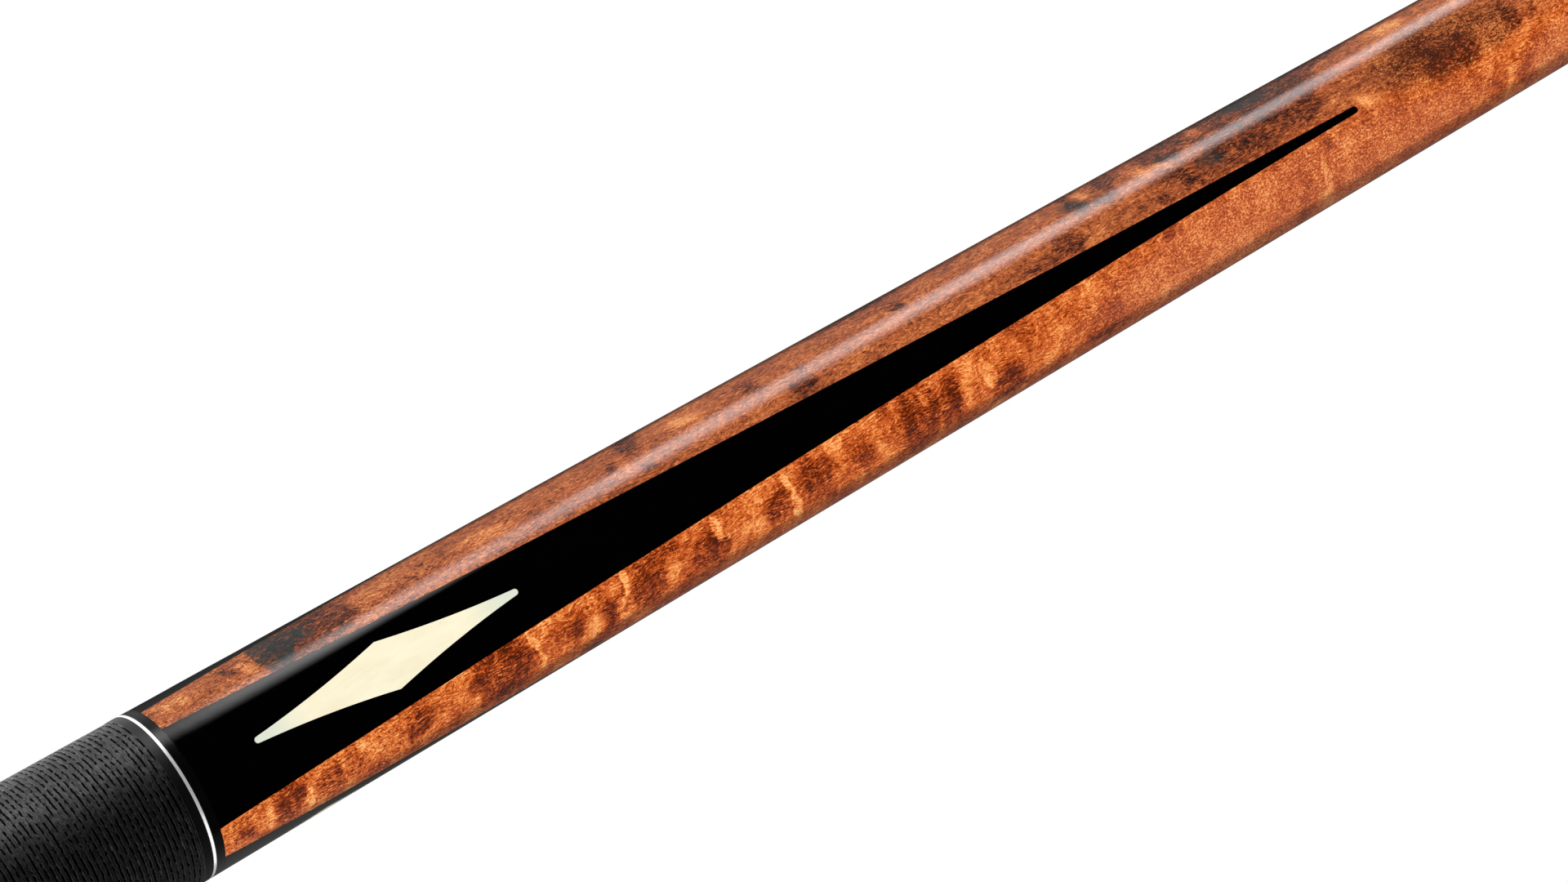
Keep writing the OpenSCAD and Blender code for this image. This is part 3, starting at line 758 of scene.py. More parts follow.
def black_linen():
    """Irish linen: black twisted thread, wound tight, waxed and pressed flat. Only parts of the groove
    between two turns show, and a fainter line runs midway; shade is painted into both, as a darker colour
    and almost no reflection."""
    g = Finish("black_linen", IOR=1.5)
    place = g.place
    x, y, z = place.parts()
    turns = g.turn_from_front(x, y) * (0.5 / math.pi)
    thread = (z - WRAP_Z / MM) * (MM / WRAP_PITCH) - turns
    wander = g.noise(place, 0.5, 0.9)
    ragged = g.noise(place, 2.0, 1.0, 2.0, 0.6)
    phase = g.math("FRACT", thread + wander.centred(0.20) + ragged.centred(0.42))
    off_groove = abs(abs(phase - 0.5) - 0.5)
    length = g.noise(place, 1.0, 1.3, 2.0, 0.55)
    # groove and ply mark where shade is painted into the grooves and the midway line.
    groove = off_groove.step(0.13, 0.25, 1.0, 0.0) * (length.step(0.42, 0.50) * 0.90 + 0.10)
    ply = off_groove.step(0.36, 0.46) * length.step(0.50, 0.60, 0.28, 0.06)
    groove = g.math("MAXIMUM", groove, ply)
    fuzz = g.noise(place, 4.0, 5.5, 3.0, 0.8)
    twist = g.noise(place, 1.3, 4.0, 2.0, 0.6)
    patch = g.spots(0.12, 2.0, 0.6)
    # Painted shade: the grooves darken the colour here, and below they take away almost all reflection.
    tone = fuzz * 0.55 + twist * 0.35 + patch * 0.25 + groove * -0.7
    shine = (fuzz * 0.6 + twist * 0.4).step(0.32, 0.66, 0.32, 1.45)
    shine = shine * g.noise(place, 0.9, 1.1, 1.0).step(0.30, 0.70, 0.80, 1.18)
    relief = fuzz * 0.5 + twist * 0.5 + groove * -1.6
    return g.put(Base_Color=tone.ramp((0.20, (0.0002, 0.0002, 0.0002)), (0.75, (0.0016, 0.0016, 0.0017))),
                 Roughness=fuzz.step(0.3, 0.7, 0.40, 0.53),
                 Specular_IOR_Level=shine * (groove * -0.97 + 1.0), Normal=g.bump(relief, 0.06))


def black_trim():
    """Trim at the wrap's ends: the same black, smooth and pressed, duller than a collar."""
    g = Finish("black_trim", IOR=1.5)
    lines = g.noise(g.place, 0.10, 7.0, 3.0, 0.6)
    dust = g.spots(2.2, 3.0, 0.7)
    return g.put(Base_Color=dust.ramp((0.3, (0.0006, 0.0006, 0.0007)), (0.8, (0.0020, 0.0020, 0.0020))),
                 Roughness=lines.step(0.25, 0.75, 0.36, 0.48), Normal=g.bump(lines + dust * 0.4, 0.012))


def maple_grain(g, pale, deep):
    """Colour and fibres of straight-grained maple with short flecks and a mineral streak."""
    wander = g.noise(g.place, 0.08, 0.012, kind="Color")
    grain_place = g.pushed(g.place, g.scaled(wander, (2.5, 2.5, 0.0)))
    fibre = g.noise(grain_place, 4.5, 0.10, 3.0, 0.6)
    growth = g.noise(grain_place, 0.55, 0.006)
    fleck = g.noise(g.place, 3.2, 0.55).step(0.60, 0.72)
    mineral = g.noise(g.place, 0.8, 0.018).step(0.66, 0.74)
    colour = (fibre * 0.45 + growth * 0.6).ramp((0.30, deep), (0.62, pale))
    colour = colour.mix(fleck * 0.35, (0.45, 0.27, 0.12))
    return colour.mix(mineral * 0.4, (0.36, 0.24, 0.14)), fibre


def shaft_maple():
    """The shaft: burnished bare maple, faintly blue with chalk towards the ferrule."""
    g = Finish("pale_maple")
    colour, fibre = maple_grain(g, (0.80, 0.63, 0.41), (0.62, 0.42, 0.22))
    smudge = g.noise(g.place, 0.35, 0.06, 4.0, 0.65)
    near_tip = g.place.parts()[2].step((FERRULE_Z - 0.16) / MM, FERRULE_Z / MM)
    chalk = near_tip * smudge.step(0.42, 0.66) * 0.34
    colour = colour.mix(chalk, (0.42, 0.52, 0.60))
    handled = smudge.step(0.5, 0.75) * 0.12
    return g.put(Base_Color=colour.mix(handled, (0.50, 0.38, 0.25)),
                 Roughness=fibre.step(0.3, 0.7, 0.36, 0.27), Normal=g.bump(fibre, 0.006))


def plain_maple():
    """Handle core: unfinished maple."""
    g = Finish("plain_maple", Roughness=0.7)
    colour, fibre = maple_grain(g, (0.74, 0.53, 0.30), (0.52, 0.31, 0.13))
    return g.put(Base_Color=colour, Normal=g.bump(fibre, 0.03))


def turned_metal(name, dark, light, rough):
    """Turned metal with fine tool lines and faint handling marks."""
    g = Finish(name, Metallic=1.0)
    lines = g.noise(g.place, 0.35, 14.0, 3.0, 0.65)
    marks = g.spots(0.5, 4.0, 0.6)
    return g.put(Base_Color=(lines * 0.45 + marks * 0.55).ramp((0.30, dark), (0.65, light)),
                 Roughness=marks.step(0.3, 0.7, rough, rough + 0.14), Normal=g.bump(lines, 0.008))


def rubber():
    """Bumper: matt black moulded rubber with a fine pebble and scuffed, greyer edges."""
    g = Finish("rubber", IOR=1.45)
    pebble = g.made("TexVoronoi", output="Distance", named={"Vector": g.place, "Scale": 2.6})
    dust = g.spots(0.45, 5.0, 0.65)
    worn = g.made("NewGeometry", output="Pointiness").step(0.50, 0.58)
    tone = dust * 0.7 + worn * 0.35
    return g.put(Base_Color=tone.ramp((0.25, (0.010, 0.010, 0.011)), (0.85, (0.055, 0.053, 0.050))),
                 Roughness=dust.step(0.3, 0.7, 0.68, 0.88), Normal=g.bump(pebble + dust, 0.04))


def ferrule_white():
    """Ferrule: off-white resin with faint chalk smudges and fine scratches round it."""
    g = Finish("ferrule_white", IOR=1.5)
    smudge = g.noise(g.place, 0.30, 0.22, 5.0, 0.65)
    scratch = g.noise(g.place, 0.5, 9.0, 3.0, 0.7)
    high = g.place.parts()[2].step(FERRULE_Z / MM, (FERRULE_Z + 0.02) / MM)
    chalk = smudge.step(0.44, 0.68) * (high * 0.30 + 0.10)
    colour = scratch.ramp((0.3, (0.74, 0.72, 0.66)), (0.6, (0.83, 0.81, 0.76)))
    return g.put(Base_Color=colour.mix(chalk, (0.36, 0.50, 0.62)),
                 Roughness=smudge.step(0.35, 0.65, 0.20, 0.38), Normal=g.bump(scratch, 0.004))


def red_fibre():
    """Tip pad: pressed red fibre, seen edge on."""
    g = Finish("red_fibre", Roughness=0.5)
    layers = g.noise(g.place, 0.7, 7.0, 3.0, 0.6)
    return g.put(Base_Color=layers.ramp((0.30, (0.16, 0.012, 0.010)), (0.70, (0.42, 0.045, 0.030))),
                 Normal=g.bump(layers, 0.015))


def tip_leather():
    """Tip: burnished layered leather at the side, scuffed and chalked on its dome and a
    little way down."""
    g = Finish("tip_leather", IOR=1.45)
    layers = g.made("TexWave", output="Fac", bands_direction="Z", named={
        "Vector": g.place, "Scale": 0.55, "Distortion": 0.6, "Detail": 2.0})
    scuff = g.spots(1.8, 5.0, 0.7)
    up = g.made("NewGeometry", output="Normal").parts()[2]
    edge = top("tip") / MM - 2.2
    spilt = g.place.parts()[2].step(edge - 1.7, edge, 0.0, 0.8) * scuff.step(0.40, 0.62)
    crown = g.math("MAXIMUM", up.step(0.45, 0.86), spilt)
    side = (layers * 0.35 + scuff * 0.65).ramp((0.25, (0.055, 0.022, 0.010)),
                                               (0.75, (0.27, 0.125, 0.055)))
    chalk = scuff.ramp((0.38, (0.10, 0.075, 0.06)), (0.52, (0.16, 0.30, 0.44)),
                       (0.70, (0.30, 0.48, 0.62)))
    return g.put(Base_Color=side.mix(crown, chalk), Roughness=crown * 0.45 + 0.42,
                 Normal=g.bump(scuff, 0.10))


def make_materials():
    """Every material by name. The marks on sides that the photo doesn't show are random."""
    rng = np.random.default_rng(SEED)
    dark = list(DARK_STROKES)
    bright = list(BRIGHT_STROKES)
    for angles in ((88, 168), (-168, -92)):
        dark += drawn_strokes(rng, 12, (4, 288), angles, (0.8, 3.2), 2.5)
        bright += drawn_strokes(rng, 8, (4, 288), angles, (0.5, 1.4), 2.0)
    sleeve_dark = drawn_strokes(rng, 14, (-382, -300), (-170, 170), (0.8, 2.8), 2.0)
    sleeve_bright = drawn_strokes(rng, 12, (-382, -300), (-170, 170), (0.4, 1.2), 2.0)
    made = [
        stained_maple("stained_maple", dark, bright, TEAL_STROKES, SALMON_STROKES, BURL_STROKES),
        stained_maple("sleeve_maple", sleeve_dark, sleeve_bright),
        black_inlay(), cream_inlay(), nickel_silver(), black_collar(), black_linen(),
        black_trim(), plain_maple(), shaft_maple(),
        turned_metal("steel", (0.42, 0.43, 0.45), (0.72, 0.73, 0.75), 0.20),
        turned_metal("brass", (0.50, 0.33, 0.11), (0.82, 0.62, 0.28), 0.24),
        rubber(), ferrule_white(), red_fibre(), tip_leather(),
    ]
    # The frame may hold a name already, and then Blender adds a number to the new one.
    return {material.name.split(".")[0]: material for material in made}


# ---- pieces ----

def tube_outline(node, bore_r):
    """Outline of a ring or collar that follows the butt's taper, its two rims eased."""
    z0 = bottom(node)
    z1 = top(node)
    low = float(butt_radius(z0 + 1e-6))
    high = float(butt_radius(z1 - 1e-6))
    return [(bore_r, z0), (low - EDGE, z0), (low, z0 + EDGE), (high, z1 - EDGE),
            (high - EDGE, z1), (bore_r, z1)]


def crowned_outline(node, bore_r):
    """Outline of a thin metal ring whose face is very slightly domed."""
    z0 = bottom(node)
    z1 = top(node)
    middle = (z0 + z1) / 2
    half = (z1 - z0) / 2 - EDGE
    crest = float(butt_radius(middle)) - 0.004 * MM
    face = [(crest - 0.02 * MM * s * s, middle + half * s) for s in np.linspace(-1, 1, 7)]
    rim = face[0][0] - EDGE
    return [(bore_r, z0), (rim, z0), *face, (rim, z1), (bore_r, z1)]


def grooved(radius, z):
    """Outline pairs of a fine groove cut round a collar at height z."""
    return [(float(radius(z + up * MM)) - cut * MM, z + up * MM)
            for up, cut in ((-0.20, 0.0), (0.0, 0.10), (0.20, 0.0))]


def build_rings():
    """Collars, trims and metal rings of the butt."""
    bores = {"forearm_collar": WAIST_BORE, "wrap_trim_upper": WAIST_BORE,
             "wrap_trim_lower": HANDLE_BORE, "sleeve_collar_upper": HANDLE_BORE,
             "sleeve_collar_lower": HANDLE_BORE, "forearm_ring": WAIST_BORE,
             "sleeve_ring_upper": HANDLE_BORE, "sleeve_ring_lower": HANDLE_BORE,
             "joint_ring": JOINT_BORE}
    for node, bore_r in bores.items():
        if "ring" in node:
            turned(node, crowned_outline(node, bore_r), "butt", "nickel_silver")
        else:
            finish = "black_trim" if "trim" in node else "black_collar"
            turned(node, tube_outline(node, bore_r), "butt", finish, "black_collar")


def build_forearm():
    """Forearm wood with its pockets, its bores and the tenon that the joint collar sits on."""
    tenon_top = WAIST_Z + 19 * MM
    stud_top = WAIST_Z + 33 * MM
    shank_z = JOINT_Z - 35 * MM
    inner = [WAIST_BORE, JOINT_TENON, PIN_BORE, STUD_BORE, 0.0]
    heights, angles, radii = inlay_grid(FOREARM_INLAYS, FOREARM_Z, JOINT_RING_Z, inner, 0.0, 0.0,
                                        [tenon_top, stud_top, shank_z, JOINT_RING_Z - 1 * MM])
    # One more row carries the tenon up to the joint.
    grid = (np.append(heights, JOINT_Z), np.concatenate([angles, angles[-1:]]),
            np.concatenate([radii, radii[-1:]]))
    heights = grid[0]
    filled = all_cells(grid, True)
    for inlay in FOREARM_INLAYS:
        filled[between(heights, *inlay.point.span(0.0)), inlay.point_columns, :2] = False
    # Cells are numbered inwards: 3 begins at the waist's bore, 4 at the joint's tenon, 5 at the
    # pin's bore and 6 at the stud's.
    filled[between(heights, 0, tenon_top), :, 3:] = False
    filled[between(heights, 0, stud_top), :, 6:] = False
    filled[between(heights, shank_z, JOINT_Z), :, 5:] = False
    filled[between(heights, JOINT_RING_Z, JOINT_Z), :, :4] = False
    cell_solid("forearm", grid, filled, "stained_maple", FOREARM_SLOPE)
    build_inlays(FOREARM_INLAYS, FOREARM_Z, JOINT_RING_Z, FOREARM_SLOPE)


def build_sleeve():
    """Butt sleeve with its four points and diamonds."""
    z0 = bottom("butt_sleeve")
    grid = inlay_grid(SLEEVE_INLAYS, z0, SLEEVE_TOP_Z, [HANDLE_BORE], 0.0, 0.0)
    filled = all_cells(grid, True)
    for inlay in SLEEVE_INLAYS:
        filled[between(grid[0], *inlay.point.span(0.0)), inlay.point_columns, :2] = False
    cell_solid("butt_sleeve", grid, filled, "sleeve_maple", HANDLE_SLOPE, "stained_maple")
    build_inlays(SLEEVE_INLAYS, z0, SLEEVE_TOP_Z, HANDLE_SLOPE)


def build_inlays(inlays, z0, z1, slope):
    """Points with the diamonds' pockets in them, and diamonds."""
    for inlay in inlays:
        span = inlay.point.span(INLAY_GAP)
        grid = inlay_grid(inlays, z0, z1, [], INLAY_GAP, 0.0, span)
        filled = all_cells(grid, False)
        filled[between(grid[0], *span), inlay.point_columns, :] = True
        filled[between(grid[0], *inlay.diamond.span(0.0)), inlay.diamond_columns, 0] = False
        cell_solid(inlay.point.node, grid, filled, "black_inlay", slope)

        span = inlay.diamond.span(INLAY_GAP)
        grid = inlay_grid(inlays, z0, z1, [], 0.0, INLAY_GAP, span)
        filled = all_cells(grid, False)
        filled[between(grid[0], *span), inlay.diamond_columns, 0] = True
        cell_solid(inlay.diamond.node, grid, filled, "cream_inlay", slope)


def build_wrap():
    """Linen wrap: one thread wound from end to end, pressed flat, with grooves that show
    only here and there."""
    rng = np.random.default_rng(SEED)
    columns = 64
    phases = [0.0, 0.15, 0.5, 0.85]
    groove = np.array([1.0, 0.10, 0.0, 0.10])
    z, inside = helix_heights(WRAP_Z, WRAP_TOP_Z, WRAP_Z, WRAP_PITCH, phases, columns)
    turns = len(z) // len(phases)
    dashes = np.clip(rng.uniform(-0.35, 1.35, (turns, columns)), 0, 1)
    dashes = (dashes + np.roll(dashes, 1, 1) * 0.5) / 1.5
    crush = rng.uniform(-1, 1, (turns, columns))
    crush = (crush + np.roll(crush, 1, 1) + np.roll(crush, 2, 1)) / 3
    turn = np.repeat(np.arange(turns), len(phases))
    dip = np.tile(groove, turns)[:, None] * dashes[turn] * 0.12 * MM
    dip = dip + (crush[turn] + 1) * 0.012 * MM + 0.05 * MM
    radius = butt_radius(z) - np.where(inside, dip, 0.06 * MM)
    low, high = [(float(butt_radius(end)) - WRAP_DEPTH, end) for end in (WRAP_Z, WRAP_TOP_Z)]
    points, faces = wound([low], z, radius, [high], len(phases), closed=True)
    shade(new_piece("linen_wrap", points, faces, "butt", "black_linen"), 70)


def build_butt_end():
    """Butt cap and rubber bumper."""
    z0 = bottom("butt_cap")
    z1 = top("butt_cap")
    low = float(butt_radius(z0))
    high = float(butt_radius(z1))
    bore = 5.65 * MM
    edge = 1.0 * MM
    outline = [(bore, z0), (low - edge - 0.3 * MM, z0), *arc(low - edge, z0 + edge, edge, -90, 0, 8),
               (high, z1 - EDGE), (high - EDGE, z1), (HANDLE_BORE, z1),
               (HANDLE_BORE, z0 + 2 * MM), (bore, z0 + 2 * MM)]
    turned("butt_cap", outline, "butt", "black_collar")

    # Shallow rings on the foot's face grip the floor, and it swells to a lip under the cap.
    outline = outline_mm([(0, 0.9), (2.6, 0.9), (3.2, 0), (4.6, 0), (4.9, 0.5), (5.5, 0.5),
                          (5.8, 0), (7.2, 0), (7.5, 0.5), (8.1, 0.5), (8.4, 0)])
    outline += arc(11.4 * MM, 1.2 * MM, 1.2 * MM, -90, -20)
    outline += outline_mm([(13.55, -3.4), (13.6, -2.0)], z0)
    outline += arc(13.5 * MM, z0 - 0.7 * MM, 0.6 * MM, -50, 90, 8)
    outline += outline_mm([(5.4, -0.02)], z0)
    for rib in range(5):
        outline += outline_mm([(4.7, -0.9), (5.35, 0), (5.35, 0.5)], z0 + (2.0 + 2.6 * rib) * MM)
    outline += outline_mm([(4.7, -1.6), (4.4, -0.4), (3.9, 0), (0, 0)], top("bumper"))
    turned("bumper", outline, "bumper", "rubber", closed=False)


def build_joint():
    """The joint's two collars and the shaft's ring."""
    z0 = bottom("joint_collar")
    low = float(butt_radius(z0 + 1e-6))
    high = float(butt_radius(JOINT_Z))
    outline = [(JOINT_BORE, z0), (low - EDGE, z0), (low, z0 + EDGE),
               *grooved(butt_radius, JOINT_Z - 2.2 * MM), (high, JOINT_Z - 0.12 * MM),
               (high - 0.12 * MM, JOINT_Z), (JOINT_BORE, JOINT_Z)]
    turned("joint_collar", outline, "butt", "black_collar")

    ring_z = bottom("shaft_ring")
    ring_r = widest("shaft_ring")
    base_r = widest("shaft_collar")
    slope = (ring_r - base_r) / (ring_z - JOINT_Z)
    outline = [(JOINT_BORE, JOINT_Z), (base_r - 0.12 * MM, JOINT_Z), (base_r, JOINT_Z + 0.12 * MM),
               *grooved(lambda z: base_r + slope * (z - JOINT_Z), JOINT_Z + 2.2 * MM),
               (ring_r, ring_z - EDGE), (ring_r - EDGE, ring_z), (JOINT_BORE, ring_z)]
    turned("shaft_collar", outline, "shaft", "black_collar")

    # The ring turns on its own body, so it stands a hair clear of both its neighbours.
    low = ring_z + CLEAR
    high = top("shaft_ring") - CLEAR
    outline = [(JOINT_BORE, low), (ring_r - EDGE, low), (ring_r, low + EDGE),
               (ring_r - 0.01 * MM, high - EDGE), (ring_r - 0.05 * MM, high), (JOINT_BORE, high)]
    turned("shaft_ring", outline, "shaft_carrier", "nickel_silver")


def build_pin():
    """Joint pin: a glued shank, ten threads to the inch with rounded crests, and a nose."""
    pitch = 2.54 * MM
    root = 3.8 * MM
    crest = 4.7 * MM
    low = JOINT_Z - 0.5 * MM
    high = JOINT_Z + 27 * MM
    rise = {0.0: 1.0, 0.08: 1.0, 0.115: 0.955, 0.21: 0.5, 0.30: 0.045, 0.34: 0.0, 0.5: 0.0}
    shape = dict(rise)
    for phase, share in rise.items():
        if 0 < phase < 0.5:
            shape[1 - phase] = share
    phases = sorted(shape)
    # The crest is a quarter turn on from the front, as in the CAD thread.
    z, inside = helix_heights(low, high, JOINT_Z - 0.25 * pitch, pitch, phases, 72)
    shares = np.tile([shape[phase] for phase in phases], len(z) // len(phases))[:, None]
    run_out = np.clip((high - z) / (1.2 * MM), 0, 1)
    radius = root + (crest - root) * shares * run_out * inside
    below = outline_mm([(0, 0), (4.4, 0), (5, 0.6)], bottom("joint_pin"))
    below += outline_mm([(5, -0.2), (4.8, 0), (3.8, 0)], low)
    nose = top("joint_pin")
    above = outline_mm([(3.8, 0), (3.7, 0.1)], high) + [(3.7 * MM, nose - 1.1 * MM)]
    above += arc(2.7 * MM, nose - 1.0 * MM, 1.0 * MM, 0, 90) + [(0, nose)]
    points, faces = wound(below, z, radius, above, len(phases), closed=False)
    shade(new_piece("joint_pin", points, faces, "butt", "steel"), 50)


def build_shaft():
    """Shaft wood, ferrule and tip pad."""
    wood_z = top("shaft_ring")
    pad_z = bottom("tip_pad")
    tip_z = top("tip_pad")
    tip_r = widest("ferrule")
    straight_z = FERRULE_Z - 250 * MM
    bore = 7.05 * MM
    bore_top = JOINT_Z + 36.5 * MM

    def shaft_radius(z):
        """A cylinder below the ferrule, then a slow flare down to the joint."""
        left = max(0.0, 1 - (z - JOINT_Z) / (straight_z - JOINT_Z))
        return float(tip_r + (butt_radius(JOINT_Z) - tip_r) * left ** 1.25)

    side = [*np.linspace(wood_z + EDGE, straight_z, 60),
            *np.linspace(straight_z, FERRULE_Z, 14)[1:]]
    outline = [(bore, JOINT_Z), (JOINT_TENON, JOINT_Z), (JOINT_TENON, wood_z),
               (shaft_radius(wood_z) - EDGE, wood_z), *[(shaft_radius(z), z) for z in side]]
    outline += outline_mm([(4, 0), (4, 15), (0, 15)], FERRULE_Z)
    outline += [(0, bore_top), (bore, bore_top)]
    turned("shaft_wood", outline, "shaft", "pale_maple")

    bore = 4.05 * MM
    bore_top = FERRULE_Z + 15.2 * MM
    outline = [(bore, FERRULE_Z), (tip_r - 0.03 * MM, FERRULE_Z), (tip_r, FERRULE_Z + 0.03 * MM),
               (tip_r, pad_z - 0.05 * MM), (tip_r - 0.05 * MM, pad_z), (0, pad_z), (0, bore_top),
               (bore, bore_top)]
    turned("ferrule", outline, "shaft", "ferrule_white")

    rim = tip_r - 0.06 * MM
    face = tip_r - 0.01 * MM
    outline = [(0, pad_z), (rim, pad_z), (face, pad_z + 0.06 * MM), (face, tip_z - 0.06 * MM),
               (rim, tip_z), (0, tip_z)]
    turned("tip_pad", outline, "shaft", "red_fibre", closed=False)
    build_tip(tip_r, tip_z)


def build_tip(r, tip_z):
    """Leather tip: a side that has spread very slightly in use, and a scuffed dome."""
    top_z = top("tip")
    dome_r = 10.3 * MM
    edge_angle = math.asin(r / dome_r)
    edge_z = top_z - dome_r + dome_r * math.cos(edge_angle)
    swell = np.sin(np.linspace(0, math.pi, 9)) * 0.05 * MM
    outline = [(0, tip_z), (r - 0.06 * MM, tip_z)]
    outline += [(r + out, z) for out, z in zip(swell, np.linspace(tip_z, edge_z, 9))][1:]
    for turn in np.linspace(edge_angle, 0, 26)[1:]:
        outline.append((dome_r * math.sin(turn), top_z - dome_r * (1 - math.cos(turn))))
    points, faces = lathe(outline, 96, closed=False)
    for point in points:
        if point[2] > edge_z - 1e-7:
            place = Vector(point / MM)
            rough = noise.noise(place * 1.4) * 0.7 + noise.noise(place * 3.7) * 0.5
            point[2] += (rough - 0.9) * 0.045 * MM
    shade(new_piece("tip", points, faces, "shaft", "tip_leather"), 40)


def finish_cad_nodes():
    """Materials of the CAD nodes that stay as they are."""
    shown = [node for node in frame["nodes"].values() if not node.hide_render]
    for node in shown:
        for slot in node.material_slots:
            wanted = slot.material.name.split(".")[0] if slot.material else ""
            slot.material = MATERIALS.get(wanted, MATERIALS["steel"])


# ---- stage ----

def build_floor():
    """Pale floor under the bumper. It goes down with the bumper when that is pulled out, so
    the bumper never sinks into it, and it can't be seen from below."""
    size = 30.0
    mesh = bpy.data.meshes.new("floor")
    mesh.from_pydata([(x, y, -0.0002) for x, y in ((-size, -size), (size, -size), (size, size),
                                                   (-size, size))], [], [(0, 1, 2, 3)])
    floor = bpy.data.objects.new("floor", mesh)
    bpy.context.scene.collection.objects.link(floor)
    g = Finish("floor", Roughness=0.9, Specular_IOR_Level=0.0)
    soft = g.spots(0.006, 3.0)
    g.put(Base_Color=soft.ramp((0.3, (0.80, 0.80, 0.79)), (0.7, (0.84, 0.84, 0.83))))
    pale = Value(g, g.shader.outputs[0])
    white = g.made("Emission", (1.0, 1.0, 1.0), 1.0)
    # Far away the floor fades into the white of the studio.
    far = g.made("VectorMath", g.place, output="Value", operation="LENGTH")
    front = g.made("MixShader", far.step(1200.0, 6000.0), pale, white)
    behind = g.made("NewGeometry", output="Backfacing")
    seen = g.made("MixShader", behind, front, g.made("BsdfTransparent"))
    g.feed(g.tree.nodes["Material Output"].inputs[0], seen)
    mesh.materials.append(g.material)
    floor.visible_glossy = False
    floor.parent = frame["bodies"]["bumper"]


def build_world():
    """White studio. The camera sees plain white, matt surfaces are lit evenly from all
    round, and glossy ones mirror dark surroundings with soft panels of light. The panels'
    edges are bearings from the front in degrees."""
    world = bpy.data.worlds.new("studio")
    bpy.context.scene.world = world
    world.use_nodes = True
    world.cycles.sampling_method = "NONE"
    g = Graph(world.node_tree)
    x, y, z = g.made("TexCoord", output="Generated").parts()
    bearing = g.turn_from_front(x, y) * math.degrees(1.0)

    # The streak's light is near, so its bearing drifts with height.
    off = abs(bearing + 51.5 + z * 50.0 + z.step(0.30, 0.35, 4.5, 0.0))
    cloudy = g.noise(g.made("CombineXYZ", z * 26.0), 1.0, 1.0).step(0.35, 0.65, 3.7, 6.2)
    height_share = z.step(0.278, 0.300, 0.55, 0.0) + z.step(0.295, 0.38, 0.16, 1.0)
    streak = off.step(1.0, 19.5, 1.0, 0.0) * cloudy * height_share
    left = bearing.step(-92.0, -80.0, 0.30, 0.0) * bearing.step(-165.0, -105.0, 0.15, 1.0)
    low_left = bearing.step(-122.0, -100.0, 2.0, 0.55) * bearing.step(-94.0, -80.0, 1.0, 0.0)
    left = left + low_left * z.step(0.25, 0.285, 1.0, 0.0)
    low_right = bearing.step(96.0, 112.0, 0.0, 0.15) * bearing.step(132.0, 165.0, 1.0, 0.2)
    right = bearing.step(74.0, 84.0, 0.0, 0.10) + low_right * z.step(0.31, 0.36, 1.0, 0.0)
    above = streak + (left + right)
    below = bearing.step(-120.0, -98.0, 2.0, 0.9) * bearing.step(-52.0, -26.0, 1.0, 0.0)
    below = below + z.step(-0.45, -0.25, 1.0, 0.0) * bearing.step(18.0, 44.0, 0.2, 1.1) + 0.04
    mirrored = g.blend(z.step(0.10, 0.24), below, above)
    matt = (x * -0.5 + z).step(-1.0, 1.0) * 0.40 + 0.74
    seen = g.blend(g.made("LightPath", output="Is Glossy Ray"), matt, mirrored)
    strength = g.blend(g.made("LightPath", output="Is Camera Ray"), seen, 1.0)
    background = world.node_tree.nodes["Background"]
    g.feed(background.inputs["Color"], (1.0, 1.0, 1.0))
    g.feed(background.inputs["Strength"], strength)


def add_light(name, location, target, size, power):
    """Soft area light for matt surfaces only: the world makes the reflections."""
    data = bpy.data.lights.new(name, "AREA")
    data.shape = "RECTANGLE"
    data.size, data.size_y = size
    data.energy = power
    light = bpy.data.objects.new(name, data)
    light.location = location
    aim = Vector(target) - Vector(location)
    light.rotation_euler = aim.to_track_quat("-Z", "Y").to_euler()
    light.visible_camera = False
    light.visible_glossy = False
    bpy.context.scene.collection.objects.link(light)
    return light


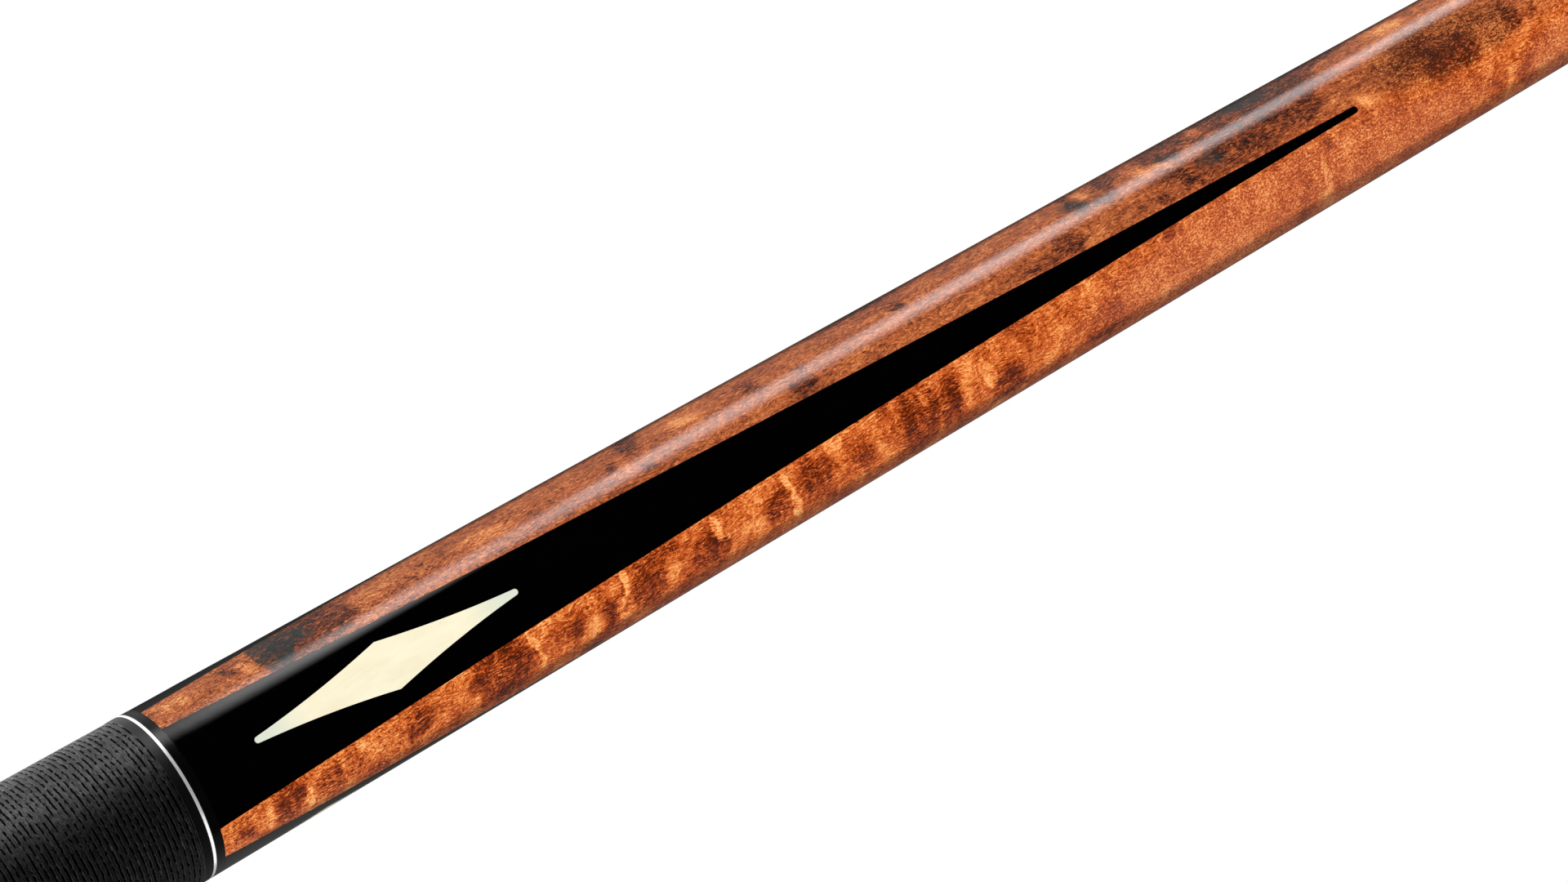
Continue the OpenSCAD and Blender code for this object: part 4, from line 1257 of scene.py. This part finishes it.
def light_rings():
    """Panels to the left and right that only the metal rings mirror."""
    rings = bpy.data.collections.new("rings")
    for piece in bpy.data.objects:
        if piece.name.endswith("_look") and "ring" in piece.name:
            rings.objects.link(piece)
    for side, bearing, size, power in (("left", -88, (3.4, 0.9), 11),
                                       ("right", 84, (3.2, 0.9), 21)):
        turn = math.radians(bearing)
        place = (2 * math.sin(turn), -2 * math.cos(turn), 1.06)
        light = add_light("ring_light_" + side, place, (0, 0, WAIST_Z), size, power)
        light.visible_glossy = True
        light.light_linking.receiver_collection = rings


def build_camera():
    """Camera at the photo's viewing angle: below the forearm, looking up along the cue."""
    ring_in_view = Vector((-0.0871227, -0.0501050, -0.5768413))
    turn = math.radians(29.917)
    tilt = math.radians(27.085)
    cue = Vector((math.cos(tilt) * math.cos(turn), math.cos(tilt) * math.sin(turn),
                  -math.sin(tilt)))
    toward = (Vector((0, 0, 1)) - cue * cue.z).normalized()
    roll = math.radians(-FACING)
    y_axis = -(toward * math.cos(roll) + cue.cross(toward) * math.sin(roll))
    # Its rows are the cue's axes as the camera sees them.
    to_cue = Matrix((y_axis.cross(cue), y_axis, cue))
    data = bpy.data.cameras.new("camera")
    data.sensor_width = 36.0
    data.lens = 94.48
    data.clip_start = 0.01
    data.clip_end = 200.0
    camera = bpy.data.objects.new("camera", data)
    place = Vector((0, 0, WAIST_Z)) - to_cue @ ring_in_view
    camera.matrix_world = Matrix.Translation(place) @ to_cue.to_4x4()
    bpy.context.scene.collection.objects.link(camera)
    bpy.context.scene.camera = camera


MATERIALS = make_materials()
build_rings()
build_forearm()
build_sleeve()
build_wrap()
build_butt_end()
build_joint()
build_pin()
build_shaft()
finish_cad_nodes()
build_floor()
build_world()
add_light("soft_key", (-2.6, -2.8, 3.4), (0, 0, 0.6), (2.2, 2.2), 44)
add_light("soft_fill", (2.8, -2.2, 1.6), (0, 0, 0.6), (1.8, 2.4), 16)
light_rings()
build_camera()
bpy.context.scene.view_settings.view_transform = "Standard"
